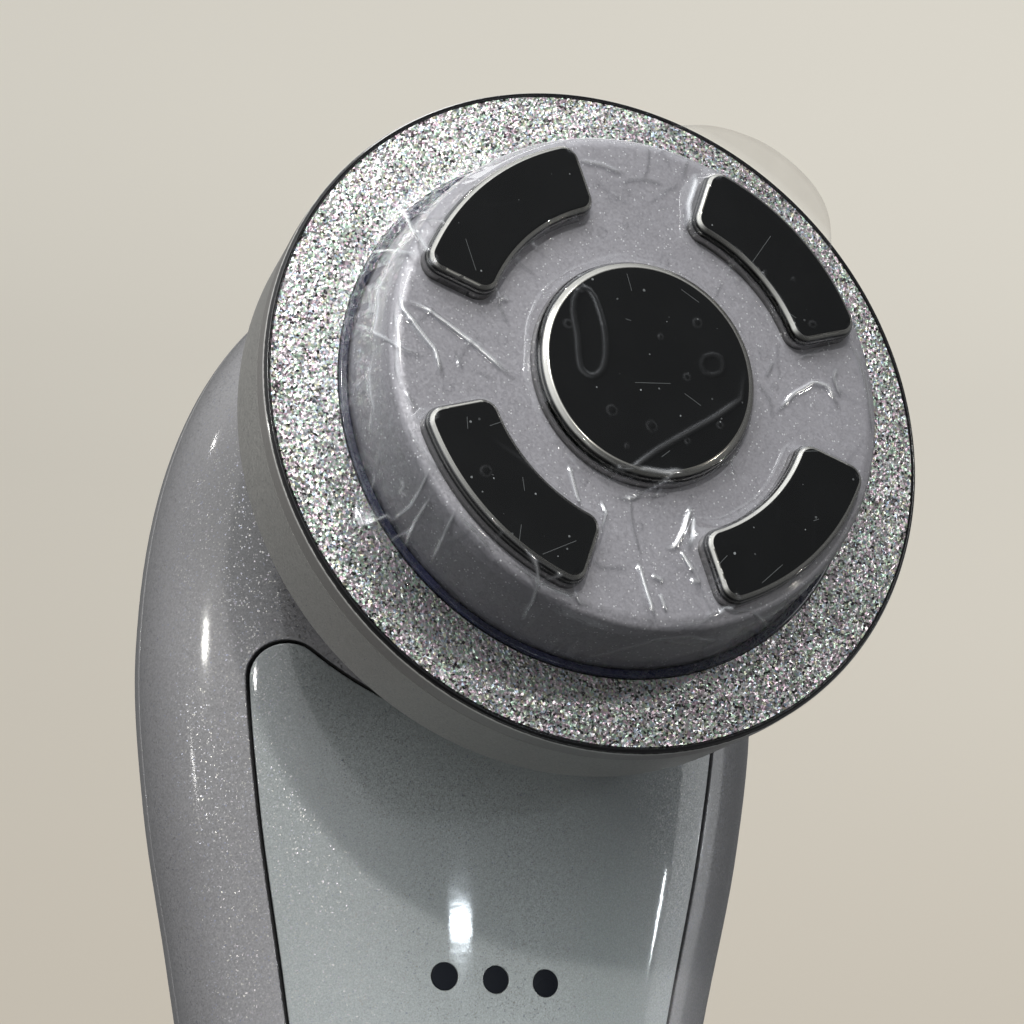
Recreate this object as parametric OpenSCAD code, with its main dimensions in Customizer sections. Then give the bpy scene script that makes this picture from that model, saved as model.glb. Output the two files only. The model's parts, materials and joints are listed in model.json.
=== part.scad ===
// Hand-held facial toning device: a tipped round electrode head on a bulb-topped
// handle. +Z runs up the handle, the face and the buttons look towards -Y, and the
// device stands on its foot at Z = 0.

/* [Overall] */
// Height of the head ring's centre above the foot
head_z = 153; // [152:0.5:154]
// Y of the head ring's centre, the front being -Y
head_y = -14.9; // [-15.2:0.1:-14.6]
// Backward lean of the head face from upright, in degrees
head_tilt = 12; // [11:0.5:13]

/* [Handle profile] */
// Height of the lower grip station
z_low = 25; // [22:0.5:28]
// Height of the grip station
z_grip = 55; // [52:0.5:58]
// Height of the button station
z_btn = 80; // [78:0.5:82]
// Height of the upper button station
z_up = 99; // [98:0.5:100]
// Height of the indicator station
z_dot = 112; // [111:0.5:113]
// Height of the shoulder station
z_sho = 124; // [123:0.5:125]
// Height of the bulb station, where the section is widest
z_bulb = 136; // [135.5:0.1:136.5]
// Half widths at the foot, lower grip, grip and button stations
w_low = [16.2, 15.6, 15.3, 16]; // [15.2:0.05:16.4]
// Half widths at the upper button, indicator, shoulder and bulb stations
w_up = [18.6, 21.3, 23.85, 25.1]; // [18.4:0.05:25.2]
// Centre Y at the four lower stations
y_low = [4.1, 4.5, 5.5, 7.1]; // [4:0.05:7.2]
// Centre Y at the four upper stations
y_up = [8.8, 10.2, 11.6, 13.1]; // [8.7:0.05:13.2]
// Depths from the centre to the front at the four lower stations
front_low = [13.2, 13, 12.6, 11.9]; // [11.8:0.05:13.4]
// Depths to the front at the four upper stations
front_up = [11.3, 11.4, 11.6, 11.8]; // [11.2:0.05:12]
// Depths from the centre to the rear at the four lower stations
rear_low = [13.2, 13.2, 13, 12.7]; // [12.5:0.05:13.6]
// Depths to the rear at the four upper stations
rear_up = [12.4, 12.4, 12.6, 12.8]; // [12.2:0.05:13]
// Height of the bulb's crown
crown_z = 170; // [169.5:0.1:171]
// Exponent of the handle's section, 2 being an ellipse
sec_e = 2.2; // [2:0.05:2.4]
// Exponent of the crown's dome
dome_e = 2.3; // [2.1:0.05:2.5]
// Backward slope of the bulb's centre line
bulb_slope = 0.11; // [0.08:0.01:0.14]
// Wall of the two housings
wall = 1.8; // [1.6:0.1:1.9]

/* [Front panel] */
// Thickness of the front panel
panel_t = 1.5; // [1.3:0.1:1.6]
// Gap round the front panel
panel_gap = 0.22; // [0.15:0.01:0.3]
// Height of the centre of the panel's round lower end
panel_z0 = 62; // [60:1:64]
// Radius of the hollow that the panel's top edge follows
panel_arc_r = 24.2; // [23.8:0.1:24.4]
// Corner radius of the panel's two horns
horn_r = 2.65; // [2.3:0.05:2.9]

/* [Controls] */
// Height of the power button, where the control frame has its origin
ctl_z = 93; // [92:0.5:94]
// Backward lean of the control frame, in degrees
ctl_tilt = 6.5; // [6:0.1:7]
// Radius of the power button
power_r = 5.5; // [5:0.1:5.7]
// Radius of the level button
level_r = 4.2; // [3.8:0.1:4.4]
// How far the level button sits below the power button
level_v = -18; // [-19:0.5:-17]
// Radial clearance of each button in its ring
btn_fit = 0.1; // [0.06:0.01:0.1]
// Radius of each indicator window
dot_r = 1; // [0.8:0.05:1.1]
// Spacing of the three indicator windows
dot_pitch = 3.94; // [3.6:0.02:4.2]
// Height of the windows above the power button
dot_v = 20.1; // [19:0.1:21]

/* [Head] */
// Outer radius of the head
ring_r = 25; // [24.8:0.1:25.2]
// Outer radius of the glitter ring
glitter_ro = 24.15; // [24:0.05:24.2]
// Inner radius of the glitter ring
glitter_ri = 19.75; // [19.7:0.01:19.8]
// Radius of the puck at its foot
puck_r = 19; // [18.9:0.05:19]
// Height of the puck's flat top above the ring plane
puck_h = 6.6; // [6.4:0.1:6.8]
// Height of the electrode faces above the ring plane
face_h = 8.06; // [7.9:0.02:8.2]
// Face radius of the centre electrode
centre_r = 7.68; // [7.4:0.02:7.9]
// Inner face radius of the arc electrodes
arc_ri = 12.17; // [12:0.01:12.4]
// Outer face radius of the arc electrodes
arc_ro = 17.02; // [16.8:0.01:17.1]
// Angle that each arc electrode's face spans
arc_span = 53; // [48:0.5:54]

/* [Hidden] */

eps = 0.01;
body_z0 = 3;          // where the housings start, above the base cap
recess = panel_t + 0.25; // depth of the panel's recess
floor_t = 3.2;        // inner face of the recess's floor, from the outer surface
Z = [0, z_low, z_grip, z_btn, z_up, z_dot, z_sho, z_bulb];
// Each station's half width, centre Y, depth to the front and depth to the rear
ST = [for (i = [0:7]) i < 4 ? [w_low[i], y_low[i], front_low[i], rear_low[i]]
    : [w_up[i - 4], y_up[i - 4], front_up[i - 4], rear_up[i - 4]]];
foot_cy = y_low[0];

// ---- handle loft -------------------------------------------------------------
// Smooth interpolation of station value k at height z, flat at both ends
// (the centre line leaves the bulb at its own slope).
function slope_at(i, k) = i == 0 ? 0
    : i == len(Z) - 1 ? (k == 1 ? bulb_slope : 0)
    : let (h0 = Z[i] - Z[i - 1], h1 = Z[i + 1] - Z[i])
      ((ST[i][k] - ST[i - 1][k]) / h0 * h1 + (ST[i + 1][k] - ST[i][k]) / h1 * h0) / (h0 + h1);
function span(z, i = 0) = i >= len(Z) - 2 || z < Z[i + 1] ? i : span(z, i + 1);
function blend(z, k) = let (i = span(z), h = Z[i + 1] - Z[i], s = (z - Z[i]) / h)
    (2 * s ^ 3 - 3 * s ^ 2 + 1) * ST[i][k] + (s ^ 3 - 2 * s ^ 2 + s) * h * slope_at(i, k)
    + (3 * s ^ 2 - 2 * s ^ 3) * ST[i + 1][k] + (s ^ 3 - s ^ 2) * h * slope_at(i + 1, k);
// [half width, centre Y, front depth, rear depth] at height z, inset by off
function prof(z, off = 0) = let (zl = min(z, z_bulb),
    x = max(0, (z - z_bulb) / (crown_z - off - z_bulb)),
    k = x >= 1 ? 0 : (1 - x ^ dome_e) ^ (1 / dome_e))
    [max(0.3, (blend(zl, 0) - off) * k), blend(zl, 1) + bulb_slope * max(0, z - z_bulb),
     max(0.3, (blend(zl, 2) - off) * k), max(0.3, (blend(zl, 3) - off) * k)];
function sgn_pow(v, e) = sign(v) * abs(v) ^ e;
// Points of a section from angle a0 to a1 in n steps; the rear is at 90 degrees
function sec(z, off, a0, a1, n) = let (p = prof(z, off))
    [for (i = [0:n]) let (a = a0 + (a1 - a0) * i / n, y = sgn_pow(sin(a), 2 / sec_e))
        [p[0] * sgn_pow(cos(a), 2 / sec_e), p[1] + (y < 0 ? p[2] : p[3]) * y]];
function full(z, off, n) = [for (q = [for (p = sec(z, off, 0, 360 - 360 / n, n - 1)) p]) q];
// One slice of the loft between two sections with the same number of points
module slice(p, z0, q, z1) {
    n = len(p);
    hull() polyhedron(
        points = concat([for (a = p) [a[0], a[1], z0]], [for (a = q) [a[0], a[1], z1]]),
        faces = concat([[for (i = [0:n - 1]) i]], [[for (i = [n - 1:-1:0]) n + i]],
            [for (i = [0:n - 1]) [i, n + i, n + (i + 1) % n, (i + 1) % n]]));
}
module loft(zs, off, n) for (i = [0:len(zs) - 2])
    slice(full(zs[i], off, n), zs[i], full(zs[i + 1], off, n), zs[i + 1]);
module half_loft(zs, a0, n) for (i = [0:len(zs) - 2])
    slice(sec(zs[i], 0, a0, a0 + 180, n), zs[i], sec(zs[i + 1], 0, a0, a0 + 180, n), zs[i + 1]);
// Heights of the sections: even along the grip, closer over the dome
function dome(top, n) = [for (i = [1:n]) z_bulb + (top - z_bulb) * sin(90 * i / n)];
outer_z = concat([body_z0], [for (i = [1:14]) body_z0 + (z_bulb - body_z0) * i / 14],
    dome(crown_z - 0.02, 9));
function inner_z(off, n, m) = concat([for (i = [0:n]) 1 + (z_bulb - 1) * i / n],
    dome(crown_z - off - 0.02, m));

function front_y(z, x = 0, off = 0) = let (p = prof(z, off))
    p[1] - p[2] * max(0, 1 - (abs(x) / p[0]) ^ sec_e) ^ (1 / sec_e);

// ---- frames ------------------------------------------------------------------
module head() translate([0, head_y, head_z]) rotate([90 - head_tilt, 0, 0]) children();
module ctl(v = 0) translate([0, front_y(ctl_z), ctl_z]) rotate([90 - ctl_tilt, 0, 0])
    translate([0, v, 0]) children();
module tube(ro, ri, z0, z1, fn = 64) translate([0, 0, z0]) difference() {
    cylinder(r = ro, h = z1 - z0, $fn = fn);
    translate([0, 0, -1]) cylinder(r = ri, h = z1 - z0 + 2, $fn = fn);
}
module rod(r, z0, z1, fn = 32) translate([0, 0, z0]) cylinder(r = r, h = z1 - z0, $fn = fn);
module box(x0, x1, y0, y1, z0, z1) translate([x0, y0, z0]) cube([x1 - x0, y1 - y0, z1 - z0]);
module stadium(w, t, z0, z1) translate([0, 0, z0]) linear_extrude(z1 - z0) union() {
    square([w - t, t], center = true);
    for (s = [-1, 1]) translate([s * (w - t) / 2, 0]) circle(d = t, $fn = 32);
}

// ---- front panel outline -----------------------------------------------------
function panel_s(z) = prof(z)[0] * (0.714 + 0.0016 * (z - 110));
module outline(grow = 0) offset(r = grow, $fn = 48) offset(r = horn_r, $fn = 48)
    offset(delta = -horn_r) difference() {
    union() {
        polygon(concat([for (z = [panel_z0:6:panel_z0 + 72]) [panel_s(z), z]],
            [[panel_s(136), 145], [-panel_s(136), 145]],
            [for (z = [panel_z0 + 72:-6:panel_z0]) [-panel_s(z), z]]));
        translate([0, panel_z0]) circle(r = panel_s(panel_z0), $fn = 64);
    }
    translate([0, head_z + 2.2]) circle(r = panel_arc_r, $fn = 96);
}
module outline_prism(grow = 0) translate([0, 12, 0]) rotate([90, 0, 0])
    linear_extrude(30) outline(grow);
// Heights of the panel's sections, none of them level with a point of its outline
panel_z = [for (i = [0:12]) 46.5 + 8.17 * i];

// ---- screws of the housings --------------------------------------------------
// Two screws under the panel join the shells, four under the foot hold the base cap
top_x = 14.2;
top_z = 124;
foot_x = 10.4;
foot_y = [0.6, 7.6];
top_y = front_y(top_z, top_x) + recess + 0.9; // seat of the upper screw heads, less 1.2
module at_top() for (s = [-1, 1]) translate([s * top_x, 0, top_z]) children();
module foot_boss(y) for (s = [-1, 1]) {
    translate([s * foot_x, y, 0]) rod(2.1, body_z0 + 0.05, 9.3, 24);
    box(s > 0 ? 12 : -14.6, s > 0 ? 14.6 : -12, y - 0.8, y + 0.8, body_z0 + 2.4, 9.3);
}
module foot_holes(r, z0, z1) for (s = [-1, 1], y = foot_y)
    translate([s * foot_x, y, 0]) rod(r, z0, z1, 20);
module along_y(y0, y1, r, fn = 32) translate([0, y1, 0]) rotate([90, 0, 0])
    cylinder(r = r, h = y1 - y0, $fn = fn);

module control_cuts() {
    for (i = [-1:1]) translate([i * dot_pitch, 0, 0]) ctl(dot_v) rod(dot_r + 0.02, -12, 3, 48);
    ctl(0) rod(power_r + 1.12, -12, 4, 64);
    ctl(level_v) rod(level_r + 1.12, -12, 4, 64);
}

module front_housing() color("#a9a7b3") difference() {
    union() {
        difference() {
            half_loft(outer_z, 180, 20);
            loft(inner_z(wall, 8, 4), wall, 32);
        }
        intersection() {
            half_loft(panel_z, 180, 16);
            outline_prism(1.6);
            difference() {
                loft(inner_z(wall - 0.3, 8, 4), wall - 0.3, 32);
                loft(inner_z(floor_t, 8, 4), floor_t, 32);
            }
        }
        intersection() {
            loft([3, 12, 116, 124, 132], 0.6, 28);
            union() {
                foot_boss(foot_y[0]);
                at_top() along_y(-20, prof(top_z)[1] - 0.05, 2.6);
            }
        }
        intersection() {
            loft([130, 136, 142, 148, 154, 160, 165, 168], 0.7, 32);
            head() tube(19.6, 17.1, -24.85, -15);
        }
    }
    difference() {
        outline_prism(panel_gap);
        loft(panel_z, recess, 32);
    }
    control_cuts();
    ctl(0) rod(power_r + 3, -12, -3.3, 48);
    ctl(level_v) rod(level_r + 3, -12, -3.3, 48);
    ctl(dot_v) translate([-6.2, -1.8, -12]) cube([12.4, 3.6, 12 - 3.4]);
    head() rod(17.1, -40, -5, 72);
    at_top() along_y(-20, 40, 1.05, 20);
    at_top() along_y(-20, top_y + 1.2, 2.1, 24);
    foot_holes(0.8, 0, 9);
    for (a = [30, 150, 270]) head() rotate(a) translate([17.8, 0, 0]) rod(0.55, -30, -23, 16);
}

module rear_housing() color("#b9b8c0") difference() {
    union() {
        difference() {
            half_loft(outer_z, 0, 20);
            loft(inner_z(wall, 8, 4), wall, 32);
        }
        intersection() {
            loft([3, 12, 114, 124, 134], 0.6, 28);
            union() {
                foot_boss(foot_y[1]);
                at_top() along_y(prof(top_z)[1] + 0.05, 40, 2.6);
            }
        }
    }
    at_top() along_y(0, prof(top_z)[1] + 7, 0.85, 20);
    foot_holes(0.8, 0, 9);
}

module front_panel() color("#9aa3a2") difference() {
    intersection() {
        half_loft(panel_z, 180, 24);
        outline_prism();
    }
    loft(panel_z, panel_t, 32);
    control_cuts();
}

module panel_liner() color("#101012") difference() {
    intersection() {
        loft(panel_z, panel_t + 0.02, 32);
        outline_prism(panel_gap - 0.04);
        half_loft(panel_z, 180, 16);
    }
    loft(panel_z, recess - 0.02, 32);
    control_cuts();
}

module base_cap() color("#a9a7b3") difference() {
    union() {
        translate([0, 0, 1.2]) linear_extrude(body_z0 - 1.2) polygon(full(body_z0, 0, 48));
        translate([0, 0, 0.6]) linear_extrude(0.6) polygon(full(body_z0, 0.5, 48));
        translate([0, 0, body_z0]) linear_extrude(2.2) difference() {
            polygon(full(body_z0 + 2, wall + 0.1, 40));
            polygon(full(body_z0 + 2, wall + 1.5, 40));
        }
    }
    translate([0, 0, -1]) linear_extrude(2.0) polygon(full(body_z0, 3, 48));
    translate([0, foot_cy, 0]) stadium(9.4, 3.6, -1, 6);
    foot_holes(2.3, body_z0, 7);
    foot_holes(0.9, 0, 4);
    foot_holes(1.7, 0, 2);
}

module foot_pad() color("#3a3a3e") difference() {
    linear_extrude(0.98) polygon(full(body_z0, 3.1, 48));
    translate([0, foot_cy, 0]) stadium(11, 5, -1, 3);
}

module housing_screws() color("#8d9096") {
    at_top() {
        along_y(top_y, top_y + 1.2, 1.7, 24);
        along_y(top_y + 1.2, prof(top_z)[1] + 6.5, 0.82, 20);
    }
    foot_holes(1.5, 1.02, 1.98);
    foot_holes(0.78, 1.98, 8.6);
}

// A button: its domed cap, the flange that the ring holds, and its stem
module button(r) color("#c9ccd0") rotate_extrude($fn = 72) polygon([
    [0, -5.9], [1.5, -5.9], [1.5, -5.1], [r + 0.7, -5.1], [r + 0.7, -4.35], [r, -4.35],
    [r, 0.35], [r - 0.35, 0.62], [r * 0.6, 0.5], [0, 0.42]]);
module button_ring(r) color("#6f7278") rotate_extrude($fn = 72) polygon([
    [r + btn_fit, -4.1], [r + 2.6, -4.1], [r + 2.6, -3.35], [r + 1, -3.35], [r + 1, 0],
    [r + 0.8, 0.2], [r + btn_fit + 0.15, 0.2], [r + btn_fit, 0.05]]);
module button_dome(r) color("#d8d8d4") rotate_extrude($fn = 48) polygon([
    [r + 1.1, -8.58], [r + 1.1, -8.1], [r + 0.3, -8.1], [r - 0.4, -5.15], [r - 1.1, -5.15],
    [r - 0.4, -8.58]]);
module power_button() ctl(0) button(power_r);
module level_button() ctl(level_v) button(level_r);
module power_button_ring() ctl(0) button_ring(power_r);
module level_button_ring() ctl(level_v) button_ring(level_r);
module power_button_dome() ctl(0) button_dome(power_r);
module level_button_dome() ctl(level_v) button_dome(level_r);
module button_switches() color("#4a4a4e") for (v = [0, level_v]) ctl(v) {
    box(-2.25, 2.25, -2.25, 2.25, -8.58, -7.2);
    rod(1.1, -7.2, -6.65, 24);
}

module indicator_windows() color("#0c0c0e") ctl(dot_v) {
    for (i = [-1:1]) translate([i * dot_pitch, 0, 0]) rod(dot_r, -7.4, 0.06, 40);
    box(-6, 6, -1.6, 1.6, -4.5, -3.6);
}
module indicator_leds() color("#f2f2e6") ctl(dot_v) for (i = [-1:1])
    translate([i * dot_pitch, 0, 0]) box(-0.8, 0.8, -0.5, 0.5, -8.58, -7.7);

module main_board() color("#1f5a3a") ctl() difference() {
    box(-10.5, 10.5, -27, 27, -9.8, -8.6);
    for (x = [-8.6, 8.6], v = [-24.5, 24.5]) translate([x, v, 0]) rod(1.05, -11, -8, 24);
}
module board_parts() color("#26262a") ctl() {
    box(-3.5, 3.5, -14, -7, -11, -9.82);
    box(-7, -1, 3, 9, -12, -9.82);
    box(1.5, 7.5, 4, 9, -11.2, -9.82);
    box(-5, 5, -26.5, -22.5, -12.1, -9.82);
    for (i = [0:5]) box(-9.6, -8.2, -12 + 4 * i, -11.2 + 4 * i, -10.5, -9.82);
    for (i = [0:4]) box(8, 9.4, -10 + 4 * i, -9.2 + 4 * i, -10.5, -9.82);
    box(-4, 4, 23, 26.5, -11.4, -9.82);
}
module board_screws() color("#8d9096") ctl() for (x = [-8.6, 8.6], v = [-24.5, 24.5])
    translate([x, v, 0]) {
        rod(0.8, -13.3, -8.58, 20);
        rod(1.7, -8.58, -7.7, 24);
    }

batt_y = 5; // Y of the battery's axis
module inner_frame() color("#6d7074") {
    ctl() difference() {
        union() {
            box(-11.4, 11.4, -28, 28, -13.9, -12.7);
            for (x = [-8.6, 8.6], v = [-24.5, 24.5]) translate([x, v, 0]) rod(2, -13.9, -9.82, 32);
            for (x = [-11.4, 10.4]) box(x, x + 1, -21.5, 21.5, -13.9, -11);
        }
        for (x = [-8.6, 8.6], v = [-24.5, 24.5]) translate([x, v, 0]) rod(0.8, -15, -9, 20);
        box(-5, 5, -6, 16, -15, -12);
    }
    translate([0, batt_y, 0]) difference() {
        union() {
            tube(8.9, 7.35, 9.6, 64.6);
            rod(8.9, 9.6, 10.8, 64);
            rod(8.9, 63.4, 64.6, 64);
        }
        box(-10, 10, -10, -0.6, 12, 62.2);
        box(-10, 10, -10, -7.6, 60, 66);
        for (s = [-1, 1]) box(s * 5 - 1.4, s * 5 + 1.4, -10, -2, 5, 70);
        rod(1.4, 5, 70, 24);
    }
    for (s = [-1, 1]) box(s * 6 - 1.2, s * 6 + 1.2, 7.4, 11.2, 64, 69);
    for (z = [22, 48], s = [-1, 1]) box(s * 9.6 - 1.6, s * 9.6 + 1.6, 5, 6.6, z, z + 3);
}
module battery_cell() color("#3d6fb0") translate([0, batt_y, 0]) {
    rod(7.1, 12.2, 61.6, 64);
    rod(3, 61.6, 62.2, 32);
}
module battery_pads() color("#55565a") translate([0, batt_y, 0]) {
    rod(6.6, 10.82, 11.9, 48);
    rod(6.6, 62.5, 63.38, 48);
}
module battery_tabs() color("#c8cacc") translate([0, batt_y, 0]) {
    box(-2.4, 2.4, -6.4, 4, 11.92, 12.18);
    box(-2.4, 2.4, -6.4, 2.4, 62.22, 62.48);
}
module battery_leads() color("#b8342c") {
    translate([0, batt_y, 0]) for (s = [-1, 1]) translate([s * 5, -5.8, 0])
        rod(0.55, s < 0 ? 11.5 : 62.6, 67.5, 16);
}

module charge_board() color("#1f5a3a") difference() {
    translate([0, batt_y - 0.4, 8.3]) cylinder(r = 8.6, h = 1.2, $fn = 64);
    translate([0, foot_cy, 0]) stadium(9.1, 3.3, 7, 8.32);
    translate([-5, batt_y - 5.8, 7]) cylinder(r = 0.7, h = 4, $fn = 24);
}
module usb_port() color("#b9bcc0") translate([0, foot_cy, 0]) difference() {
    stadium(9, 3.2, 1.1, 8.28);
    stadium(8.4, 2.6, 0, 7.8);
}
module usb_tongue() color("#1b1b1e") translate([0, foot_cy, 0])
    box(-3.3, 3.3, -0.35, 0.35, 2.4, 7.78);

module driver_board() color("#1f5a3a") head() difference() {
    box(-13.5, 13.5, -15, 13, -29.2, -28);
    for (a = [45:90:315]) rotate(a) translate([17, 0, 0]) rod(0.9, -30, -27, 20);
    rod(1.2, -30, -27, 24);
}
module driver_posts() color("#c2a85a") head() for (a = [45:90:315]) rotate(a)
    translate([17, 0, 0]) {
        rod(1.4, -27.98, -26.02, 24);
        rod(0.8, -29.9, -27.98, 20);
        rod(1.5, -30.5, -29.22, 24);
    }
module rf_transformer() color("#3b3733") head() {
    box(-11, 0, 1.5, 4, -36, -29.22);
    box(-11, 0, 7.5, 10, -36, -29.22);
    box(-11, -9, 4, 7.5, -36, -29.22);
    box(-2, 0, 4, 7.5, -36, -29.22);
    color("#b5652d") translate([-5.5, 5.75, 0]) rod(1.7, -35.4, -29.6, 32);
}
module shield_can() color("#c3c6c9") head() difference() {
    box(1.5, 10.2, -11, 2, -32.4, -29.22);
    box(1.8, 9.9, -10.7, 1.7, -32.1, -29);
}
wire_at = [[-2.4, 0.8], [-0.8, -2.4], [0.8, 2.4], [2.4, -0.8]];
module head_harness() color("#8c2f2a") head() for (w = wire_at)
    translate([w[0], w[1], 0]) rod(0.5, -27.98, 3.58, 16);

module neck_tube() color("#8f8f96") head() difference() {
    union() {
        rotate_extrude($fn = 96) polygon([[11.5, -8.6], [17.8, -8.6], [17.5, -9.4], [17, -10.4],
            [17, -24.9], [18.7, -24.9], [18.7, -25.3], [18.3, -26], [15.2, -26], [15.2, -10.2],
            [11.5, -10.2]]);
    }
    for (a = [45:90:315]) rotate(a) translate([13.4, 0, 0]) rod(0.9, -12, -8, 20);
    for (a = [30, 150, 270]) rotate(a) translate([17.8, 0, 0]) rod(0.6, -27, -24, 20);
}
module neck_gasket() color("#1c1c20") head() difference() {
    tube(17.4, 11.5, -8.58, -8.12, 96);
    for (a = [45:90:315]) rotate(a) translate([13.4, 0, 0]) rod(1.2, -9, -8, 20);
}
module neck_screws() color("#8d9096") head() {
    for (a = [45:90:315]) rotate(a) translate([13.4, 0, 0]) {
        rod(0.85, -11.5, -6.48, 20);
        rod(1.7, -6.48, -5.5, 24);
    }
    for (a = [30, 150, 270]) rotate(a) translate([17.8, 0, 0]) {
        rod(0.5, -26.02, -23.3, 16);
        rod(0.9, -26.9, -26.02, 20);
    }
}
module head_collar() color("#8b8b90") head() difference() {
    union() {
        rotate_extrude($fn = 128) polygon([[10, -8.1], [24, -8.1], [24.45, -7.96], [24.68, -7.6],
            [ring_r - 0.03, -1.82], [23.2, -1.82], [23.2, -6.5], [10, -6.5]]);
        for (a = [90, 210, 330]) rotate(a) translate([20.6, 0, 0]) rod(2.3, -6.6, -4.62, 32);
    }
    for (a = [90, 210, 330]) rotate(a) translate([20.6, 0, 0]) rod(0.8, -6.5, -4, 20);
    for (a = [45:90:315]) rotate(a) translate([13.4, 0, 0]) rod(1.1, -9, -6, 20);
}
module frame_screws() color("#8d9096") head() for (a = [90, 210, 330]) rotate(a)
    translate([20.6, 0, 0]) {
        rod(0.75, -6.3, -4.3, 20);
        rod(1.1, -4.3, -3.65, 24);
    }
module head_frame() color("#5b5d61") head() difference() {
    rotate_extrude($fn = 96) polygon([[8, -4.6], [23.15, -4.6], [23.15, -1.02], [21.95, -1.02],
        [21.95, -3.6], [8, -3.6]]);
    for (a = [90, 210, 330]) rotate(a) translate([20.6, 0, 0]) {
        rod(0.8, -5, -3, 20);
        rod(1.2, -4.3, -3, 24);
    }
    for (a = [0:90:270]) rotate(a) translate([14, 0, 0]) rod(0.9, -5, -3, 20);
}
module led_board() color("#1f5a3a") head() tube(21.9, 16.6, -3.58, -2.82, 96);
module ring_leds() color("#f2f2e6") head() for (a = [15:30:345]) rotate(a)
    box(19.9, 20.9, -0.6, 0.6, -2.8, -2.04);
module light_ring() color("#161a3c") head() rotate_extrude($fn = 128) polygon([[19.05, -2.02],
    [21.8, -2.02], [21.8, -1.04], [19.7, -1.04], [19.7, 0.1], [19.6, 0.16], [19.15, 0.16],
    [19.05, 0.1]]);
module glitter_ring() color("#b9bcc2") head() tube(glitter_ro, glitter_ri, -1, 0, 128);
module rim_ring() color("#202024") head() rotate_extrude($fn = 128) polygon([[24.2, -1.8],
    [ring_r, -1.8], [ring_r, -0.35], [ring_r - 0.25, 0.12], [24.3, 0.12], [24.2, 0.02]]);

stud_a = [for (c = [45:90:315], s = [-1, 1]) c + 13 * s];
module electrode_carrier() color("#a7a5b4") head() difference() {
    union() {
        rotate_extrude($fn = 128) polygon([[17.2, -2.8], [puck_r, -2.8], [puck_r, 0.6],
            [18.45, 5.4], [18.25, 6.1], [17.85, 6.47], [17.45, puck_h], [0, puck_h], [0, 5],
            [16.9, 5]]);
        for (a = [0:90:270]) rotate(a) translate([14, 0, 0]) rod(2, -3.58, 5.2, 32);
    }
    for (a = [0:90:270]) rotate(a) translate([14, 0, 0]) rod(0.75, -4, 2, 20);
    for (a = stud_a) rotate(a) translate([14.6, 0, 0]) rod(1.45, 4, 8, 24);
    rod(1.9, 4, 8, 32);
    translate([4.6, 0, 0]) rod(1.3, 4, 8, 24);
}
module carrier_screws() color("#8d9096") head() for (a = [0:90:270]) rotate(a)
    translate([14, 0, 0]) {
        rod(0.7, -4.62, 1.6, 20);
        rod(1.4, -5.5, -4.62, 24);
    }
module electrode_board() color("#1f5a3a") head() difference() {
    rod(16.5, 3.6, 4.6, 96);
    for (a = [0:90:270]) rotate(a) translate([14, 0, 0]) rod(2.15, 3, 5, 32);
    for (a = stud_a) rotate(a) translate([14.6, 0, 0]) rod(0.7, 3, 5, 20);
    rod(0.7, 3, 5, 20);
}
module electrode_screws() color("#8d9096") head() {
    for (a = stud_a) rotate(a) translate([14.6, 0, 0]) { rod(0.6, 3.58, 5.8, 20); rod(1.1, 2.9, 3.58, 20); }
    rod(0.6, 3.58, 5.8, 20);
    rod(1.1, 2.9, 3.58, 20);
}
module temperature_sensor() color("#2b2b30") head() translate([4.6, 0, 0]) rod(1.2, 4.62, 6.58, 24);

module centre_electrode() color("#17171a") head() difference() {
    union() {
        rotate_extrude($fn = 128) polygon([[0, puck_h + eps], [centre_r + 0.6, puck_h + eps],
            [centre_r + 0.52, 7.3], [centre_r + 0.2, 7.85], [centre_r - 0.1, face_h], [0, face_h]]);
        rod(1.8, 4.62, puck_h + 0.1, 32);
    }
    rod(0.62, 4, 6, 20);
}
// One arc electrode, its face centred at angle c, with bevelled edges and two studs
module arc_electrode(c) color("#17171a") head() rotate(c) difference() {
    union() {
        rotate(-arc_span / 2 - 0.9) rotate_extrude(angle = arc_span + 1.8, $fn = 128)
            polygon([[arc_ri - 0.32, puck_h + eps], [arc_ro + 0.33, puck_h + eps],
            [arc_ro + 0.3, 7.45], [arc_ro + 0.1, 7.88], [arc_ro - 0.12, face_h],
            [arc_ri + 0.12, face_h], [arc_ri - 0.1, 7.88], [arc_ri - 0.28, 7.45]]);
        for (s = [-1, 1]) rotate(13 * s) translate([14.6, 0, 0]) rod(1.4, 4.62, puck_h + 0.1, 24);
    }
    for (s = [-1, 1]) rotate(13 * s) translate([14.6, 0, 0]) rod(0.62, 4, 6, 20);
    for (s = [-1, 1]) rotate(s * (arc_span / 2 + 0.9)) translate([14.6, 0, face_h])
        rotate([45, 0, 0]) cube([9, 0.55, 0.55], center = true);
}
module arc_electrode_upper_left() arc_electrode(135);
module arc_electrode_upper_right() arc_electrode(45);
module arc_electrode_lower_left() arc_electrode(225);
module arc_electrode_lower_right() arc_electrode(315);

// Clear film drawn over the face, with its pull tab past the rim
module protective_film() color([0.85, 0.87, 0.9, 0.35]) head() union() {
    rotate_extrude($fn = 96) polygon([[0, 8.2], [17.2, 8.2], [18.5, 7.1], [20.2, 0.7], [20.6, 0.3],
        [22.6, 0.3], [22.6, 0.42], [20.7, 0.42], [20.32, 0.75], [18.6, 7.17], [17.25, 8.32],
        [0, 8.32]]);
    translate([0, 0, 0.3]) linear_extrude(0.12) difference() {
        translate([12, 17.3]) circle(r = 6.6, $fn = 64);
        circle(r = 22.4, $fn = 96);
    }
}

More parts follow.
